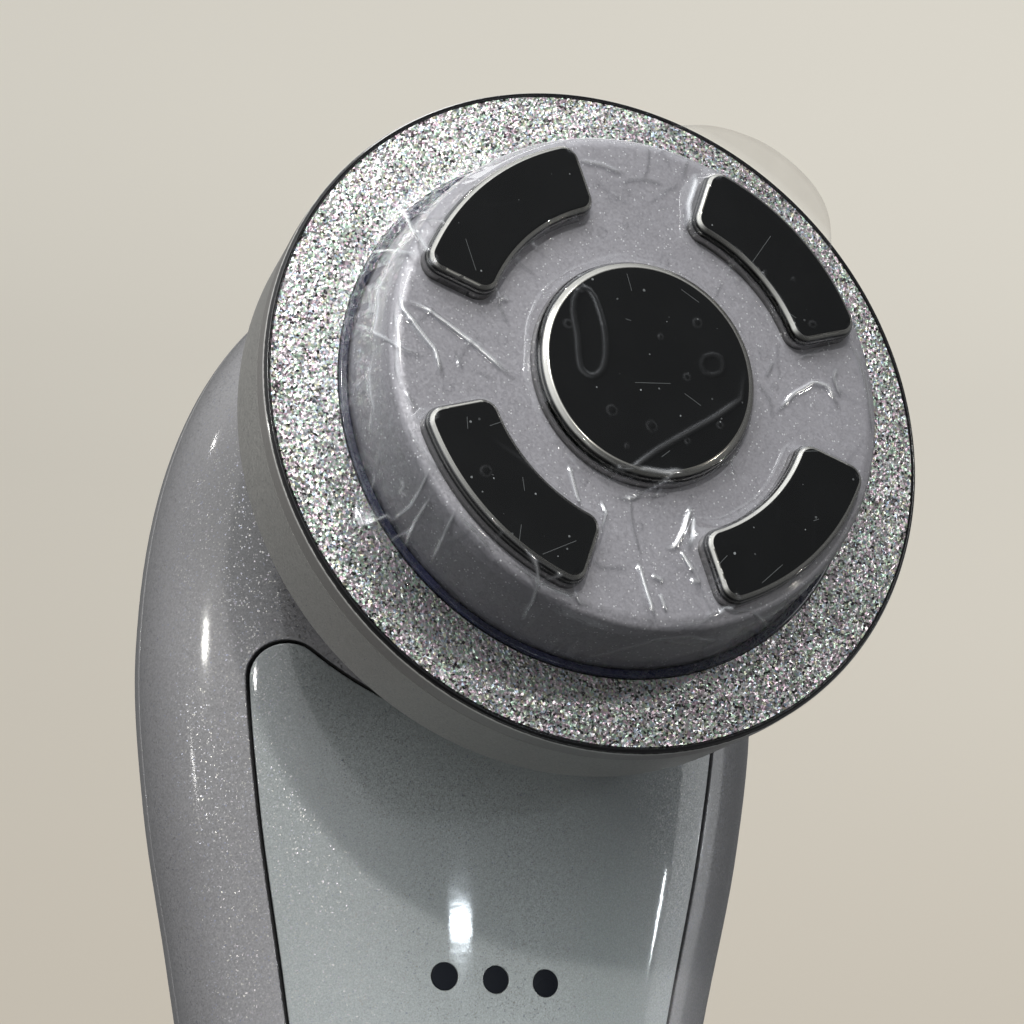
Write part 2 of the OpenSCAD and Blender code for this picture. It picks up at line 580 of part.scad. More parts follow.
front_housing();
rear_housing();
front_panel();
panel_liner();
base_cap();
foot_pad();
housing_screws();
power_button();
power_button_ring();
power_button_dome();
level_button();
level_button_ring();
level_button_dome();
button_switches();
indicator_windows();
indicator_leds();
main_board();
board_parts();
board_screws();
inner_frame();
battery_cell();
battery_pads();
battery_tabs();
battery_leads();
charge_board();
usb_port();
usb_tongue();
driver_board();
driver_posts();
rf_transformer();
shield_can();
head_harness();
neck_tube();
neck_gasket();
neck_screws();
head_collar();
frame_screws();
head_frame();
led_board();
ring_leds();
light_ring();
glitter_ring();
rim_ring();
electrode_carrier();
carrier_screws();
electrode_board();
electrode_screws();
temperature_sensor();
centre_electrode();
arc_electrode_upper_left();
arc_electrode_upper_right();
arc_electrode_lower_left();
arc_electrode_lower_right();
protective_film();
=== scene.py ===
import json
import math

import bpy
import numpy as np
from mathutils import Matrix, Vector
from mathutils.geometry import delaunay_2d_cdt
from mathutils.kdtree import KDTree


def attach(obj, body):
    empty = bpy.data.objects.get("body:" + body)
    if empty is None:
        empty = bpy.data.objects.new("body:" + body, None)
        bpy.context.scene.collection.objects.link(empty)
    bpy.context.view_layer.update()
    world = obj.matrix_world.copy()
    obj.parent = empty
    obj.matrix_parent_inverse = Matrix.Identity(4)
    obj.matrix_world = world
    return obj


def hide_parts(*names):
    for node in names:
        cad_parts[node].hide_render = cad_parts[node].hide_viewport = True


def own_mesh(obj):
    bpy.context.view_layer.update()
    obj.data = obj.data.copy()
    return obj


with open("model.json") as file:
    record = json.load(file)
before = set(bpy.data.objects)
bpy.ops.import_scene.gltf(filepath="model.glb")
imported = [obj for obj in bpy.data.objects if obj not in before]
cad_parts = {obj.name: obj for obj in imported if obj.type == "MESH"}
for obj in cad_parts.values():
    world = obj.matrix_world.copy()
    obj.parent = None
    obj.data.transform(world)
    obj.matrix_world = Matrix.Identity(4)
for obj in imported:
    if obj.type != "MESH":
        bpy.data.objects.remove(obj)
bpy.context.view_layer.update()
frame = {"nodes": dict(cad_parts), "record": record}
nodes = frame["nodes"]
MM = 0.001
rng = np.random.default_rng(20261124)

# =============================================================================
# Camera: the photograph's viewing angle
# =============================================================================
cam_data = bpy.data.cameras.new("photo_camera")
cam = bpy.data.objects.new("photo_camera", cam_data)
bpy.context.scene.collection.objects.link(cam)
right = Vector((0.9298, -0.3622, 0.0660)).normalized()
down = Vector((0.1204, 0.1296, -0.9843)).normalized()
fwd = right.cross(down).normalized()
if fwd.y < 0:
    fwd = -fwd
down = fwd.cross(right).normalized()
if down.z > 0:
    down = -down
pose = Matrix((
    (right.x, -down.x, -fwd.x, -77.25 * MM),
    (right.y, -down.y, -fwd.y, -202.86 * MM),
    (right.z, -down.z, -fwd.z, 111.53 * MM),
    (0, 0, 0, 1)))
cam.matrix_world = pose
cam_data.sensor_fit = "HORIZONTAL"
cam_data.sensor_width = 36.0
cam_data.lens = 36.0 * 2933.37 / 1024
cam_data.clip_start = 0.01
cam_data.clip_end = 20
cam_data.dof.use_dof = False
bpy.context.scene.camera = cam

# =============================================================================
# Handle surface, as in the CAD: stations, sections and the dome
# =============================================================================
ZS = np.array([0, 25, 55, 80, 99, 112, 124, 136.0])
ST = np.array([[16.2, 4.1, 13.2, 13.2], [15.6, 4.5, 13.0, 13.2], [15.3, 5.5, 12.6, 13.0],
               [16.0, 7.1, 11.9, 12.7], [18.6, 8.8, 11.3, 12.4], [21.3, 10.2, 11.4, 12.4],
               [23.85, 11.6, 11.6, 12.6], [25.1, 13.1, 11.8, 12.8]])
CROWN, SEC, DOME, LEAN = 170.0, 2.2, 2.3, 0.11
SLOPES = np.zeros_like(ST)
for _i in range(1, 7):
    _h0, _h1 = ZS[_i] - ZS[_i - 1], ZS[_i + 1] - ZS[_i]
    SLOPES[_i] = ((ST[_i] - ST[_i - 1]) / _h0 * _h1 + (ST[_i + 1] - ST[_i]) / _h1 * _h0) / (_h0 + _h1)
SLOPES[7] = [0, LEAN, 0, 0]


def spow(v, e):
    return np.sign(v) * np.abs(v) ** e


def prof(z, off=0.0):
    """[half width, centre y, depth to the front, depth to the rear] at heights z."""
    z = np.asarray(z, float)
    zl = np.clip(z, 0, 136.0)
    i = np.clip(np.searchsorted(ZS, zl, side="right") - 1, 0, 6)
    h = ZS[i + 1] - ZS[i]
    s = ((zl - ZS[i]) / h)[..., None]
    hh = h[..., None]
    v = ((2 * s**3 - 3 * s**2 + 1) * ST[i] + (s**3 - 2 * s**2 + s) * hh * SLOPES[i]
         + (3 * s**2 - 2 * s**3) * ST[i + 1] + (s**3 - s**2) * hh * SLOPES[i + 1])
    x = np.clip((z - 136.0) / (CROWN - off - 136.0), 0, 1)
    k = (1 - x**DOME) ** (1 / DOME)
    w = np.maximum(0.02, (v[..., 0] - off) * k)
    yc = v[..., 1] + LEAN * np.maximum(0, z - 136.0)
    return w, yc, np.maximum(0.02, (v[..., 2] - off) * k), np.maximum(0.02, (v[..., 3] - off) * k)


def z_of(t):
    t = np.asarray(t, float)
    return np.where(t <= 136, t, 136 + 34 * np.sin(np.clip((t - 136) / 40, 0, math.pi / 2)))


def t_of(z):
    z = np.asarray(z, float)
    return np.where(z <= 136, z, 136 + 40 * np.arcsin(np.clip((z - 136) / 34, -1, 1)))


def surf(u, t, side):
    """Point of the handle's skin. side -1 is the front half, +1 the rear half."""
    z = z_of(t)
    w, yc, fd, rd = prof(z)
    s, c = np.sin(u / 20), np.cos(u / 20)
    x = -side * w * spow(s, 2 / SEC)
    y = yc + side * np.where(side < 0, fd, rd) * spow(c, 2 / SEC)
    return np.stack([x, y, z], -1)


def implicit(p):
    w, yc, fd, rd = prof(p[..., 2])
    dy = p[..., 1] - yc
    d = np.where(dy < 0, fd, rd)
    return np.abs(p[..., 0] / w) ** SEC + np.abs(dy / d) ** SEC - 1


def skin_normal(p):
    p = np.asarray(p, float)
    w, yc, fd, rd = prof(p[..., 2])
    dy = p[..., 1] - yc
    d = np.where(dy < 0, fd, rd)
    gx = SEC * spow(p[..., 0] / w, SEC - 1) / w
    gy = SEC * spow(dy / d, SEC - 1) / d
    e = 0.02
    up, dn = p.copy(), p.copy()
    up[..., 2] = np.minimum(p[..., 2] + e, 169.995)
    dn[..., 2] = np.minimum(p[..., 2], 169.995) - e
    gz = (implicit(up) - implicit(dn)) / (up[..., 2] - dn[..., 2])
    g = np.stack([gx, gy, gz], -1)
    return g / np.maximum(np.linalg.norm(g, axis=-1, keepdims=True), 1e-9)


def u_of(x, z, side):
    w = prof(z)[0]
    return 20 * np.arcsin(np.clip(spow(-side * np.asarray(x) / w, SEC / 2), -1, 1))


def front_y(z, x=0.0):
    w, yc, fd, rd = prof(z)
    return yc - fd * np.maximum(0, 1 - np.abs(x / w) ** SEC) ** (1 / SEC)


# ---- frames of the head and of the controls ---------------------------------
_c, _s = math.cos(math.radians(78)), math.sin(math.radians(78))
HEAD = np.array([[1, 0, 0], [0, _c, -_s], [0, _s, _c]])
HEAD0 = np.array([0, -14.9, 153.0])
HN = HEAD[:, 2]


def head(p):
    return np.asarray(p, float) @ HEAD.T + HEAD0


_c2, _s2 = math.cos(math.radians(83.5)), math.sin(math.radians(83.5))
CTL = np.array([[1, 0, 0], [0, _c2, -_s2], [0, _s2, _c2]])
CTL0 = np.array([0, float(front_y(93.0)), 93.0])
CN = CTL[:, 2]


def ctl(p, v=0.0):
    return (np.asarray(p, float) + [0, v, 0]) @ CTL.T + CTL0


# =============================================================================
# Mesh helpers
# =============================================================================
def make(name, verts, faces, normals=None, body="handle", mat=None, slot=None):
    """One object from vertices in mm in the row frame. Corners that share a place become one vertex, and each
    keeps its own normal."""
    verts = np.asarray(verts, float)
    _q, first, inv = np.unique(np.round(verts * 1e5).astype(np.int64), axis=0, return_index=True, return_inverse=True)
    inv = np.asarray(inv).ravel()
    out, src = [], []
    for f in faces:
        g, h = [], []
        for q in f:
            k = int(inv[q])
            if not g or (g[-1] != k):
                g.append(k)
                h.append(int(q))
        if len(g) > 2 and g[0] == g[-1]:
            g.pop()
            h.pop()
        if len(g) > 2 and len(set(g)) == len(g):
            out.append(g)
            src.append(h)
    me = bpy.data.meshes.new(name)
    me.from_pydata((verts[first] * MM).tolist(), [], out)
    me.update()
    me.shade_smooth()
    if normals is not None:
        nn = np.asarray(normals, float)
        nn = nn / np.maximum(np.linalg.norm(nn, axis=1, keepdims=True), 1e-9)
        me.normals_split_custom_set(nn[[q for h in src for q in h]].tolist())
    ob = bpy.data.objects.new(name, me)
    bpy.context.scene.collection.objects.link(ob)
    if mat:
        me.materials.append(mat)
    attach(ob, body)
    return ob


def round_profile(pts, radii, seg=5):
    """A closed (r, h) polygon with each corner rounded. Returns points and outward normals.
    The polygon runs counter-clockwise seen with r to the right and h up."""
    pts = [np.array(p, float) for p in pts]
    n = len(pts)
    P, N = [], []
    for i in range(n):
        a, b, c = pts[i - 1], pts[i], pts[(i + 1) % n]
        d0, d1 = b - a, c - b
        l0, l1 = np.linalg.norm(d0), np.linalg.norm(d1)
        d0, d1 = d0 / l0, d1 / l1
        n0, n1 = np.array([d0[1], -d0[0]]), np.array([d1[1], -d1[0]])
        turn = math.atan2(d0[0] * d1[1] - d0[1] * d1[0], d0 @ d1)
        if b[0] < 1e-6 and (a[0] < 1e-6 or c[0] < 1e-6):
            P.append(b)
            N.append(n1 if a[0] < 1e-6 else n0)
            continue
        r = radii[i]
        half = abs(turn) / 2
        if half < 0.01 or r <= 0:
            m = n0 + n1
            P.append(b)
            N.append(m / np.linalg.norm(m))
            continue
        cut = min(r * math.tan(half), 0.48 * l0, 0.48 * l1)
        rr = cut / math.tan(half)
        p0 = b - d0 * cut
        sgn = 1 if turn > 0 else -1
        centre = p0 - n0 * rr * sgn
        k = max(2, int(math.ceil(seg * half / 0.785)))
        for j in range(k + 1):
            f = j / k
            ang = turn * f
            nn = np.array([n0[0] * math.cos(ang) - n0[1] * math.sin(ang),
                           n0[0] * math.sin(ang) + n0[1] * math.cos(ang)])
            P.append(centre + nn * rr * sgn)
            N.append(nn)
    return np.array(P), np.array(N)


def lathe(name, pts, radii, place, count=256, seg=5, **kw):
    """A solid turned about its frame's third axis. place maps local points to the row frame."""
    P, N = round_profile(pts, radii if hasattr(radii, "__len__") else [radii] * len(pts), seg)
    keep = [i for i in range(len(P)) if i == 0 or np.linalg.norm(P[i] - P[i - 1]) > 1e-5]
    P, N = P[keep], N[keep]
    closed = not (P[0][0] < 1e-6 and P[-1][0] < 1e-6)
    ang = np.arange(count) * 2 * math.pi / count
    V, NV, F, rows = [], [], [], []
    zero = place(np.zeros((1, 3)))[0]
    for (r, h), (nr, nh) in zip(P, N):
        if r < 1e-6:
            rows.append([len(V)])
            V.append([0, 0, h])
            NV.append([0, 0, 1 if nh >= 0 else -1])
        else:
            rows.append(list(range(len(V), len(V) + count)))
            V += np.stack([r * np.cos(ang), r * np.sin(ang), np.full(count, h)], 1).tolist()
            NV += np.stack([nr * np.cos(ang), nr * np.sin(ang), np.full(count, nh)], 1).tolist()
    m = len(rows)
    for i in range(m if closed else m - 1):
        a, b = rows[i], rows[(i + 1) % m]
        if len(a) == 1 and len(b) == 1:
            continue
        for j in range(count):
            k = (j + 1) % count
            if len(a) == 1:
                F.append((a[0], b[k], b[j]))
            elif len(b) == 1:
                F.append((a[j], a[k], b[0]))
            else:
                F.append((a[j], a[k], b[k], b[j]))
    return make(name, place(np.array(V)), F, place(np.array(NV)) - zero, **kw)


def in_poly(p, poly):
    inside = np.zeros(len(p), bool)
    x, y = p[:, 0], p[:, 1]
    n = len(poly)
    for i in range(n):
        x0, y0 = poly[i - 1]
        x1, y1 = poly[i]
        hit = (y0 > y) != (y1 > y)
        with np.errstate(divide="ignore", invalid="ignore"):
            inside ^= hit & (x < (x1 - x0) * (y - y0) / (y1 - y0) + x0)
    return inside


def near(p, q, lim):
    """True where a point of p lies within lim of a point of q."""
    out = np.zeros(len(p), bool)
    for i in range(0, len(p), 2000):
        d = ((p[i:i + 2000, None, :] - q[None, :, :]) ** 2).sum(-1)
        out[i:i + 2000] = d.min(1) < lim * lim
    return out


def resample(loop, step, closed=True):
    loop = np.asarray(loop, float)
    if closed:
        loop = np.vstack([loop, loop[:1]])
    d = np.r_[0, np.cumsum(np.linalg.norm(np.diff(loop, axis=0), axis=1))]
    n = max(8, int(round(d[-1] / step)))
    s = np.linspace(0, d[-1], n + 1)
    out = np.stack([np.interp(s, d, loop[:, i]) for i in range(loop.shape[1])], 1)
    return out[:-1] if closed else out


def area2(loop):
    x, y = loop[:, 0], loop[:, 1]
    return (x * np.roll(y, -1) - y * np.roll(x, -1)).sum()


def triangulate(outer, holes, step):
    """Triangles of a flat region with holes. Loops come back first, in order."""
    loops = [outer if area2(outer) > 0 else outer[::-1]] + [h[::-1] if area2(h) > 0 else h for h in holes]
    rim = np.vstack(loops)
    lo, hi = outer.min(0), outer.max(0)
    gx = np.arange(lo[0], hi[0], step)
    gy = np.arange(lo[1], hi[1], step * 0.866)
    X, Y = np.meshgrid(gx, gy)
    X[1::2] += step / 2
    grid = np.stack([X.ravel(), Y.ravel()], 1)
    ok = in_poly(grid, loops[0])
    for h in loops[1:]:
        ok &= ~in_poly(grid, h)
    grid = grid[ok]
    grid = grid[~near(grid, rim, step * 0.62)]
    pts = np.vstack([rim, grid])
    edges, start = [], 0
    for lp in loops:
        n = len(lp)
        edges += [(start + i, start + (i + 1) % n) for i in range(n)]
        start += n
    out = delaunay_2d_cdt([Vector(p) for p in pts.tolist()], edges, [], 0, 1e-7)
    verts = np.array([[v.x, v.y] for v in out[0]])
    where = {}
    for k, src in enumerate(out[3]):
        for s_ in src:
            where[s_] = k
    tris = np.array([f for f in out[2] if len(f) == 3], int)
    mid = verts[tris].mean(1)
    ok = in_poly(mid, loops[0])
    for h in loops[1:]:
        ok &= ~in_poly(mid, h)
    tris = tris[ok]
    a, b, c = verts[tris[:, 0]], verts[tris[:, 1]], verts[tris[:, 2]]
    sgn = (b[:, 0] - a[:, 0]) * (c[:, 1] - a[:, 1]) - (b[:, 1] - a[:, 1]) * (c[:, 0] - a[:, 0])
    tris[sgn < 0] = tris[sgn < 0][:, ::-1]
    idx, start = [], 0
    for lp in loops:
        idx.append([where[start + i] for i in range(len(lp))])
        start += len(lp)
    return verts, tris, idx


def plate(name, outer, holes, step, to3d, normal, thick, roll, walls=None, **kw):
    """A closed curved plate: a skin with rolled edges round every loop, walls and a back."""
    uv, tris, loops = triangulate(outer, holes, step)
    P = to3d(uv)
    N = normal(P)
    used = np.unique(tris)
    V, NV, F = P.tolist(), N.tolist(), [tuple(t) for t in tris]
    back = P - N * thick
    backpos = {}
    rolls = roll if hasattr(roll, "__len__") else [roll] * len(loops)
    for li, loop in enumerate(loops):
        L = P[loop]
        Nn = N[loop]
        tan = np.roll(L, -1, 0) - np.roll(L, 1, 0)
        tan -= (tan * Nn).sum(1, keepdims=True) * Nn
        tan /= np.linalg.norm(tan, axis=1, keepdims=True)
        T = np.cross(tan, Nn)
        W = -Nn if not walls or walls[li] is None else np.broadcast_to(walls[li], Nn.shape)
        r = rolls[li]
        prev = list(loop)
        n = len(loop)
        rows = []
        for k in range(1, 5):
            th = k * math.pi / 8
            rows.append((L + T * r * math.sin(th) + W * r * (1 - math.cos(th)),
                         np.cross(T * math.cos(th) + W * math.sin(th), tan)))
        for d in (0.35, 1.0):
            dd = r + (thick - r) * d
            rows.append((L + T * r + W * dd, np.cross(W, tan)))
        for q, qn in rows:
            base = len(V)
            V += q.tolist()
            NV += qn.tolist()
            for i in range(n):
                j = (i + 1) % n
                F.append((prev[i], base + i, base + j, prev[j]))
            prev = list(range(base, base + n))
        # the back's own rim, so that the wall's end keeps its corner
        base = len(V)
        V += rows[-1][0].tolist()
        NV += (-Nn).tolist()
        for i in range(n):
            j = (i + 1) % n
            F.append((prev[i], base + i, base + j, prev[j]))
        for i, k in enumerate(loop):
            backpos[k] = base + i
    remap = {}
    for k in used:
        if k in backpos:
            remap[k] = backpos[k]
        else:
            remap[k] = len(V)
            V.append(back[k].tolist())
            NV.append((-N[k]).tolist())
    for t in tris:
        F.append((remap[t[0]], remap[t[2]], remap[t[1]]))
    # unused vertices out
    V, NV = np.array(V), np.array(NV)
    mask = np.zeros(len(V), bool)
    for f in F:
        for q in f:
            mask[q] = True
    new = np.cumsum(mask) - 1
    F = [tuple(int(new[q]) for q in f) for f in F]
    F = [f for f in F if len(set(f)) == len(f)]
    return make(name, V[mask], F, NV[mask], **kw)


# =============================================================================
# Materials: one small helper over the node tree
# =============================================================================
class Mat:
    def __init__(self, name):
        self.m = bpy.data.materials.new(name)
        self.m.use_nodes = True
        self.t = self.m.node_tree
        self.t.nodes.clear()
        self.out = self.t.nodes.new("ShaderNodeOutputMaterial")

    def put(self, node, key, val):
        s = node.inputs[key]
        if isinstance(val, bpy.types.NodeSocket):
            self.t.links.new(val, s)
        else:
            s.default_value = val

    def add(self, kind, ins=None, **props):
        n = self.t.nodes.new(kind)
        for k, v in props.items():
            setattr(n, k, v)
        for k, v in (ins or {}).items():
            self.put(n, k, v)
        return n

    def coord(self):
        return self.add("ShaderNodeTexCoord").outputs["Object"]

    def noise(self, vec, scale, detail=3.0, rough=0.5, dist=0.0):
        return self.add("ShaderNodeTexNoise", {"Vector": vec, "Scale": scale, "Detail": detail,
                                               "Roughness": rough, "Distortion": dist}).outputs["Fac"]

    def voronoi(self, vec, scale, feature="F1", rand=1.0):
        return self.add("ShaderNodeTexVoronoi", {"Vector": vec, "Scale": scale, "Randomness": rand},
                        feature=feature)

    def math(self, op, a, b=0.0, clamp=False):
        n = self.add("ShaderNodeMath", {0: a, 1: b}, operation=op)
        n.use_clamp = clamp
        return n.outputs[0]

    def rng(self, v, a, b, c, d, smooth=False):
        n = self.add("ShaderNodeMapRange", {"Value": v, "From Min": a, "From Max": b, "To Min": c, "To Max": d})
        n.interpolation_type = "SMOOTHSTEP" if smooth else "LINEAR"
        return n.outputs["Result"]

    def mix(self, fac, a, b, mode="MIX"):
        n = self.add("ShaderNodeMix", data_type="RGBA", blend_type=mode)
        self.put(n, 0, fac)
        self.put(n, 6, a)
        self.put(n, 7, b)
        return n.outputs[2]

    def ramp(self, fac, stops, interp="LINEAR"):
        n = self.add("ShaderNodeValToRGB", {"Fac": fac})
        cr = n.color_ramp
        cr.interpolation = interp
        while len(cr.elements) < len(stops):
            cr.elements.new(0.5)
        for e, (p, c) in zip(cr.elements, stops):
            e.position = p
            e.color = (*c, 1) if hasattr(c, "__len__") else (c, c, c, 1)
        return n.outputs["Color"]

    def bump(self, height, strength, distance=0.0001, normal=None):
        ins = {"Height": height, "Strength": strength, "Distance": distance}
        if normal is not None:
            ins["Normal"] = normal
        return self.add("ShaderNodeBump", ins).outputs["Normal"]

    def tilted(self, colour, tilt):
        """The surface normal leaned by a random colour, one lean for each cell."""
        nrm = self.add("ShaderNodeNewGeometry").outputs["Normal"]
        v = self.add("ShaderNodeVectorMath", {0: colour, 1: (0.5, 0.5, 0.5)}, operation="SUBTRACT").outputs[0]
        v = self.add("ShaderNodeVectorMath", {0: v, "Scale": tilt * 2}, operation="SCALE").outputs[0]
        v = self.add("ShaderNodeVectorMath", {0: v, 1: nrm}, operation="ADD").outputs[0]
        return self.add("ShaderNodeVectorMath", {0: v}, operation="NORMALIZE").outputs[0]

    def shader(self, **ins):
        return self.add("ShaderNodeBsdfPrincipled", {k.replace("_", " "): v for k, v in ins.items()}).outputs[0]

    def mixs(self, fac, a, b):
        n = self.add("ShaderNodeMixShader", {0: fac})
        self.t.links.new(a, n.inputs[1])
        self.t.links.new(b, n.inputs[2])
        return n.outputs[0]

    def end(self, shader):
        self.t.links.new(shader, self.out.inputs["Surface"])
        return self.m


def rgb(r, g, b):
    """sRGB 0-255 to linear."""
    def f(c):
        c /= 255
        return c / 12.92 if c <= 0.04045 else ((c + 0.055) / 1.055) ** 2.4
    return (f(r), f(g), f(b))


def c4(c, k=1.0):
    return (c[0] * k, c[1] * k, c[2] * k, 1.0)


def pearl(name, base, cell, share, tilt, rough, coat, coat_rough, lift=1.5, peel=0.25, warm=(1, 1, 1), dim=None):
    """Moulded plastic with mineral flakes under a clear gloss coat. dim is a place (mm), with radii and a factor, round
    which shade is painted into the colour, darker towards it.
    """
    m = Mat(name)
    co = m.coord()
    cloud = m.noise(co, 45, 4)
    v = m.voronoi(co, cell)
    pick = m.add("ShaderNodeSeparateColor", {0: v.outputs["Color"]})
    fine = m.noise(co, cell * 0.8, 2, 0.6)
    tone = m.math("MULTIPLY", m.rng(cloud, 0.3, 0.7, 0.94, 1.07), m.rng(fine, 0.25, 0.75, 0.80, 1.2))
    # painted shade: the colour darkens towards the given place near the head, where the drum's shadow falls
    if dim:
        away = m.add("ShaderNodeVectorMath", {0: co, 1: tuple(q * MM for q in dim[0])}, operation="DISTANCE").outputs["Value"]
        tone = m.math("MULTIPLY", tone, m.rng(away, dim[1] * MM, dim[2] * MM, dim[3], 1.0, True))
    body = m.mix(1.0, c4(base), m.add("ShaderNodeCombineColor", {0: tone, 1: tone, 2: tone}).outputs[0], "MULTIPLY")
    peel_n = m.bump(m.noise(co, 900, 2), peel, 0.00002)
    under = m.shader(Base_Color=body, Roughness=rough, Specular_IOR_Level=0.45, Coat_Weight=coat,
                     Coat_Roughness=coat_rough, Normal=m.tilted(v.outputs["Color"], 0.10), Coat_Normal=peel_n)
    # flakes: each cell its own lean and tint, a little iridescent
    tint = m.ramp(pick.outputs[1], [(0.0, (0.62, 0.66, 0.86)), (0.35, (0.9, 0.88, 0.92)), (0.7, (0.95, 0.93, 0.84)),
                                    (1.0, (0.86, 0.78, 0.90))])
    flake = m.shader(Base_Color=m.mix(1.0, tint, c4(warm, lift * 0.55), "MULTIPLY"), Metallic=0.85, Roughness=0.28,
                     Normal=m.tilted(v.outputs["Color"], tilt), Coat_Weight=coat, Coat_Roughness=coat_rough,
                     Coat_Normal=peel_n)
    on = m.math("GREATER_THAN", pick.outputs[2], 1 - share)
    size = m.math("LESS_THAN", v.outputs["Distance"], m.rng(pick.outputs[0], 0, 1, 0.25, 0.6))
    return m.end(m.mixs(m.math("MULTIPLY", on, size), under, flake))


def moulded(name, base, rough=0.5, metal=0.0, grain=2500, strength=0.25, depth=0.00003, vary=0.12, coat=0.0,
            spec=0.5, brushed=None):
    """Plain moulded, rubbed or drawn stock: mottled colour, fine grain, and wear that dulls it unevenly."""
    m = Mat(name)
    co = m.coord()
    vec = co
    if brushed:
        vec = m.add("ShaderNodeMapping", {"Vector": co, "Scale": brushed}).outputs[0]
    big = m.noise(co, 70, 4)
    fine = m.noise(vec, grain, 4, 0.6)
    tone = m.math("MULTIPLY", m.rng(big, 0.3, 0.7, 1 - vary, 1 + vary), m.rng(fine, 0.2, 0.8, 1 - vary / 2, 1 + vary / 2))
    col = m.mix(1.0, c4(base), m.add("ShaderNodeCombineColor", {0: tone, 1: tone, 2: tone}).outputs[0], "MULTIPLY")
    ro = m.math("ADD", m.math("MULTIPLY", m.math("SUBTRACT", big, 0.5), 0.25), rough)
    return m.end(m.shader(Base_Color=col, Metallic=metal, Roughness=ro, Specular_IOR_Level=spec, Coat_Weight=coat,
                          Coat_Roughness=0.12, Normal=m.bump(fine, strength, depth)))


# =============================================================================
# The housings, the front panel and the foot
# =============================================================================
def outline(g=0.0):
    """The front panel's outline in (x, z), grown by g."""
    def s_of(z):
        return prof(z)[0] * (0.714 + 0.0016 * (z - 110))
    rc, R, cz, z0 = 2.65, 24.2, 155.2, 62.0
    zs = np.linspace(z0, 140, 800)
    side = np.stack([s_of(zs), zs], 1)
    lo, hi = 128.0, 141.0
    for _ in range(60):
        zc = (lo + hi) / 2
        xc = math.sqrt((R + rc) ** 2 - (cz - zc) ** 2)
        if np.min(np.linalg.norm(side - [xc, zc], axis=1)) < rc:
            hi = zc
        else:
            lo = zc
    c = np.array([xc, zc])
    k = int(np.argmin(np.linalg.norm(side - c, axis=1)))
    tan = np.gradient(side, axis=0)
    tan /= np.linalg.norm(tan, axis=1, keepdims=True)
    nrm = np.stack([tan[:, 1], -tan[:, 0]], 1)
    s0 = float(s_of(z0))
    low = np.array([[(s0 + g) * math.cos(a), z0 + (s0 + g) * math.sin(a)] for a in np.linspace(-math.pi / 2, 0, 60)])
    sid = (side + nrm * g)[1:k]
    a0 = math.atan2(side[k][1] - c[1], side[k][0] - c[0])
    v = np.array([0, cz]) - c
    a1 = math.atan2(v[1], v[0])
    cor = np.array([c + (rc + g) * np.array([math.cos(a), math.sin(a)]) for a in np.linspace(a0, a1, 40)])
    b0 = math.atan2(-v[1], -v[0])
    top = np.array([[(R - g) * math.cos(a), cz + (R - g) * math.sin(a)] for a in np.linspace(b0, -math.pi / 2, 80)])[1:]
    half = np.vstack([low, sid, cor, top])
    other = half[::-1] * [-1, 1]
    return np.vstack([half, other[1:-1]])


def to_uv(loop, side=-1):
    return np.stack([u_of(loop[:, 0], loop[:, 1], side), t_of(loop[:, 1])], 1)


def skin_hole(place, axis, r, lo, hi, n):
    """(u, t) of the line where a cylinder of radius r about a frame's axis meets the front skin."""
    a = np.arange(n) * 2 * math.pi / n
    base = np.stack([r * np.cos(a), r * np.sin(a), np.zeros(n)], 1)
    b0, b1 = np.full(n, lo, float), np.full(n, hi, float)
    for _ in range(50):
        m = (b0 + b1) / 2
        q = base.copy()
        q[:, 2] = m
        out = implicit(place(q)) > 0
        b1 = np.where(out, m, b1)
        b0 = np.where(out, b0, m)
    base[:, 2] = (b0 + b1) / 2
    p = place(base)
    return np.stack([u_of(p[:, 0], p[:, 2], -1), t_of(p[:, 2])], 1)


def half_loop(side, delta=0.15, z_low=3.15):
    """The edge of one shell's skin in (u, t): up one side, over the crown and down the other."""
    q = np.linspace(0, 1, 4000)
    k = 2 if side < 0 else 3
    d_top = ST[7][k]
    kmin = delta / d_top
    x = (1 - kmin**DOME) ** (1 / DOME)
    t_top = 136 + 40 * math.asin(x)
    t = z_low + (t_top - z_low) * (1 - (1 - q) ** 2)
    w, yc, fd, rd = prof(z_of(t))
    d = fd if side < 0 else rd
    u = 20 * np.arccos(np.clip((delta / d) ** (SEC / 2), 0, 1))
    right_ = np.stack([u, t], 1)
    right_[-1, 0] = 0
    left_ = right_[::-1][1:] * [-1, 1]
    bottom = np.stack([np.linspace(-u[0], u[0], 120)[1:-1], np.full(118, z_low)], 1)
    loop = np.vstack([right_, left_, bottom])
    P = surf(loop[:, 0], loop[:, 1], side)
    d3 = np.r_[0, np.cumsum(np.linalg.norm(np.diff(np.vstack([P, P[:1]]), axis=0), axis=1))]
    s = np.linspace(0, d3[-1], int(d3[-1] / 0.5) + 1)[:-1]
    closed = np.vstack([loop, loop[:1]])
    return np.stack([np.interp(s, d3, closed[:, i]) for i in (0, 1)], 1)


def front3d(uv):
    return surf(uv[:, 0], uv[:, 1], -1)


def rear3d(uv):
    return surf(uv[:, 0], uv[:, 1], 1)


LILAC = rgb(150, 147, 155)
# body and panel get painted shade near the head (dim), where the drum shades them
pearl_body = pearl("pearl_body", rgb(127, 126, 128), 8200, 0.22, 0.15, 0.40, 0.8, 0.10, lift=0.52,
                dim=((-17.0, 1.5, 147.5), 5.0, 15.0, 0.50))
# the rear shell is the body's plastic painted lighter, standing in for the brighter light its curve catches
pearl_rear_painted_lighter = pearl("pearl_rear_painted_lighter", rgb(138, 137, 138), 8200, 0.18, 0.13, 0.42, 0.8, 0.10, lift=0.55)
pearl_panel = pearl("pearl_panel", rgb(143, 148, 148), 10500, 0.18, 0.13, 0.36, 1.0, 0.05, lift=0.62, peel=0.10,
                 dim=((-14.5, -2.0, 137.0), 3.0, 11.0, 0.62))

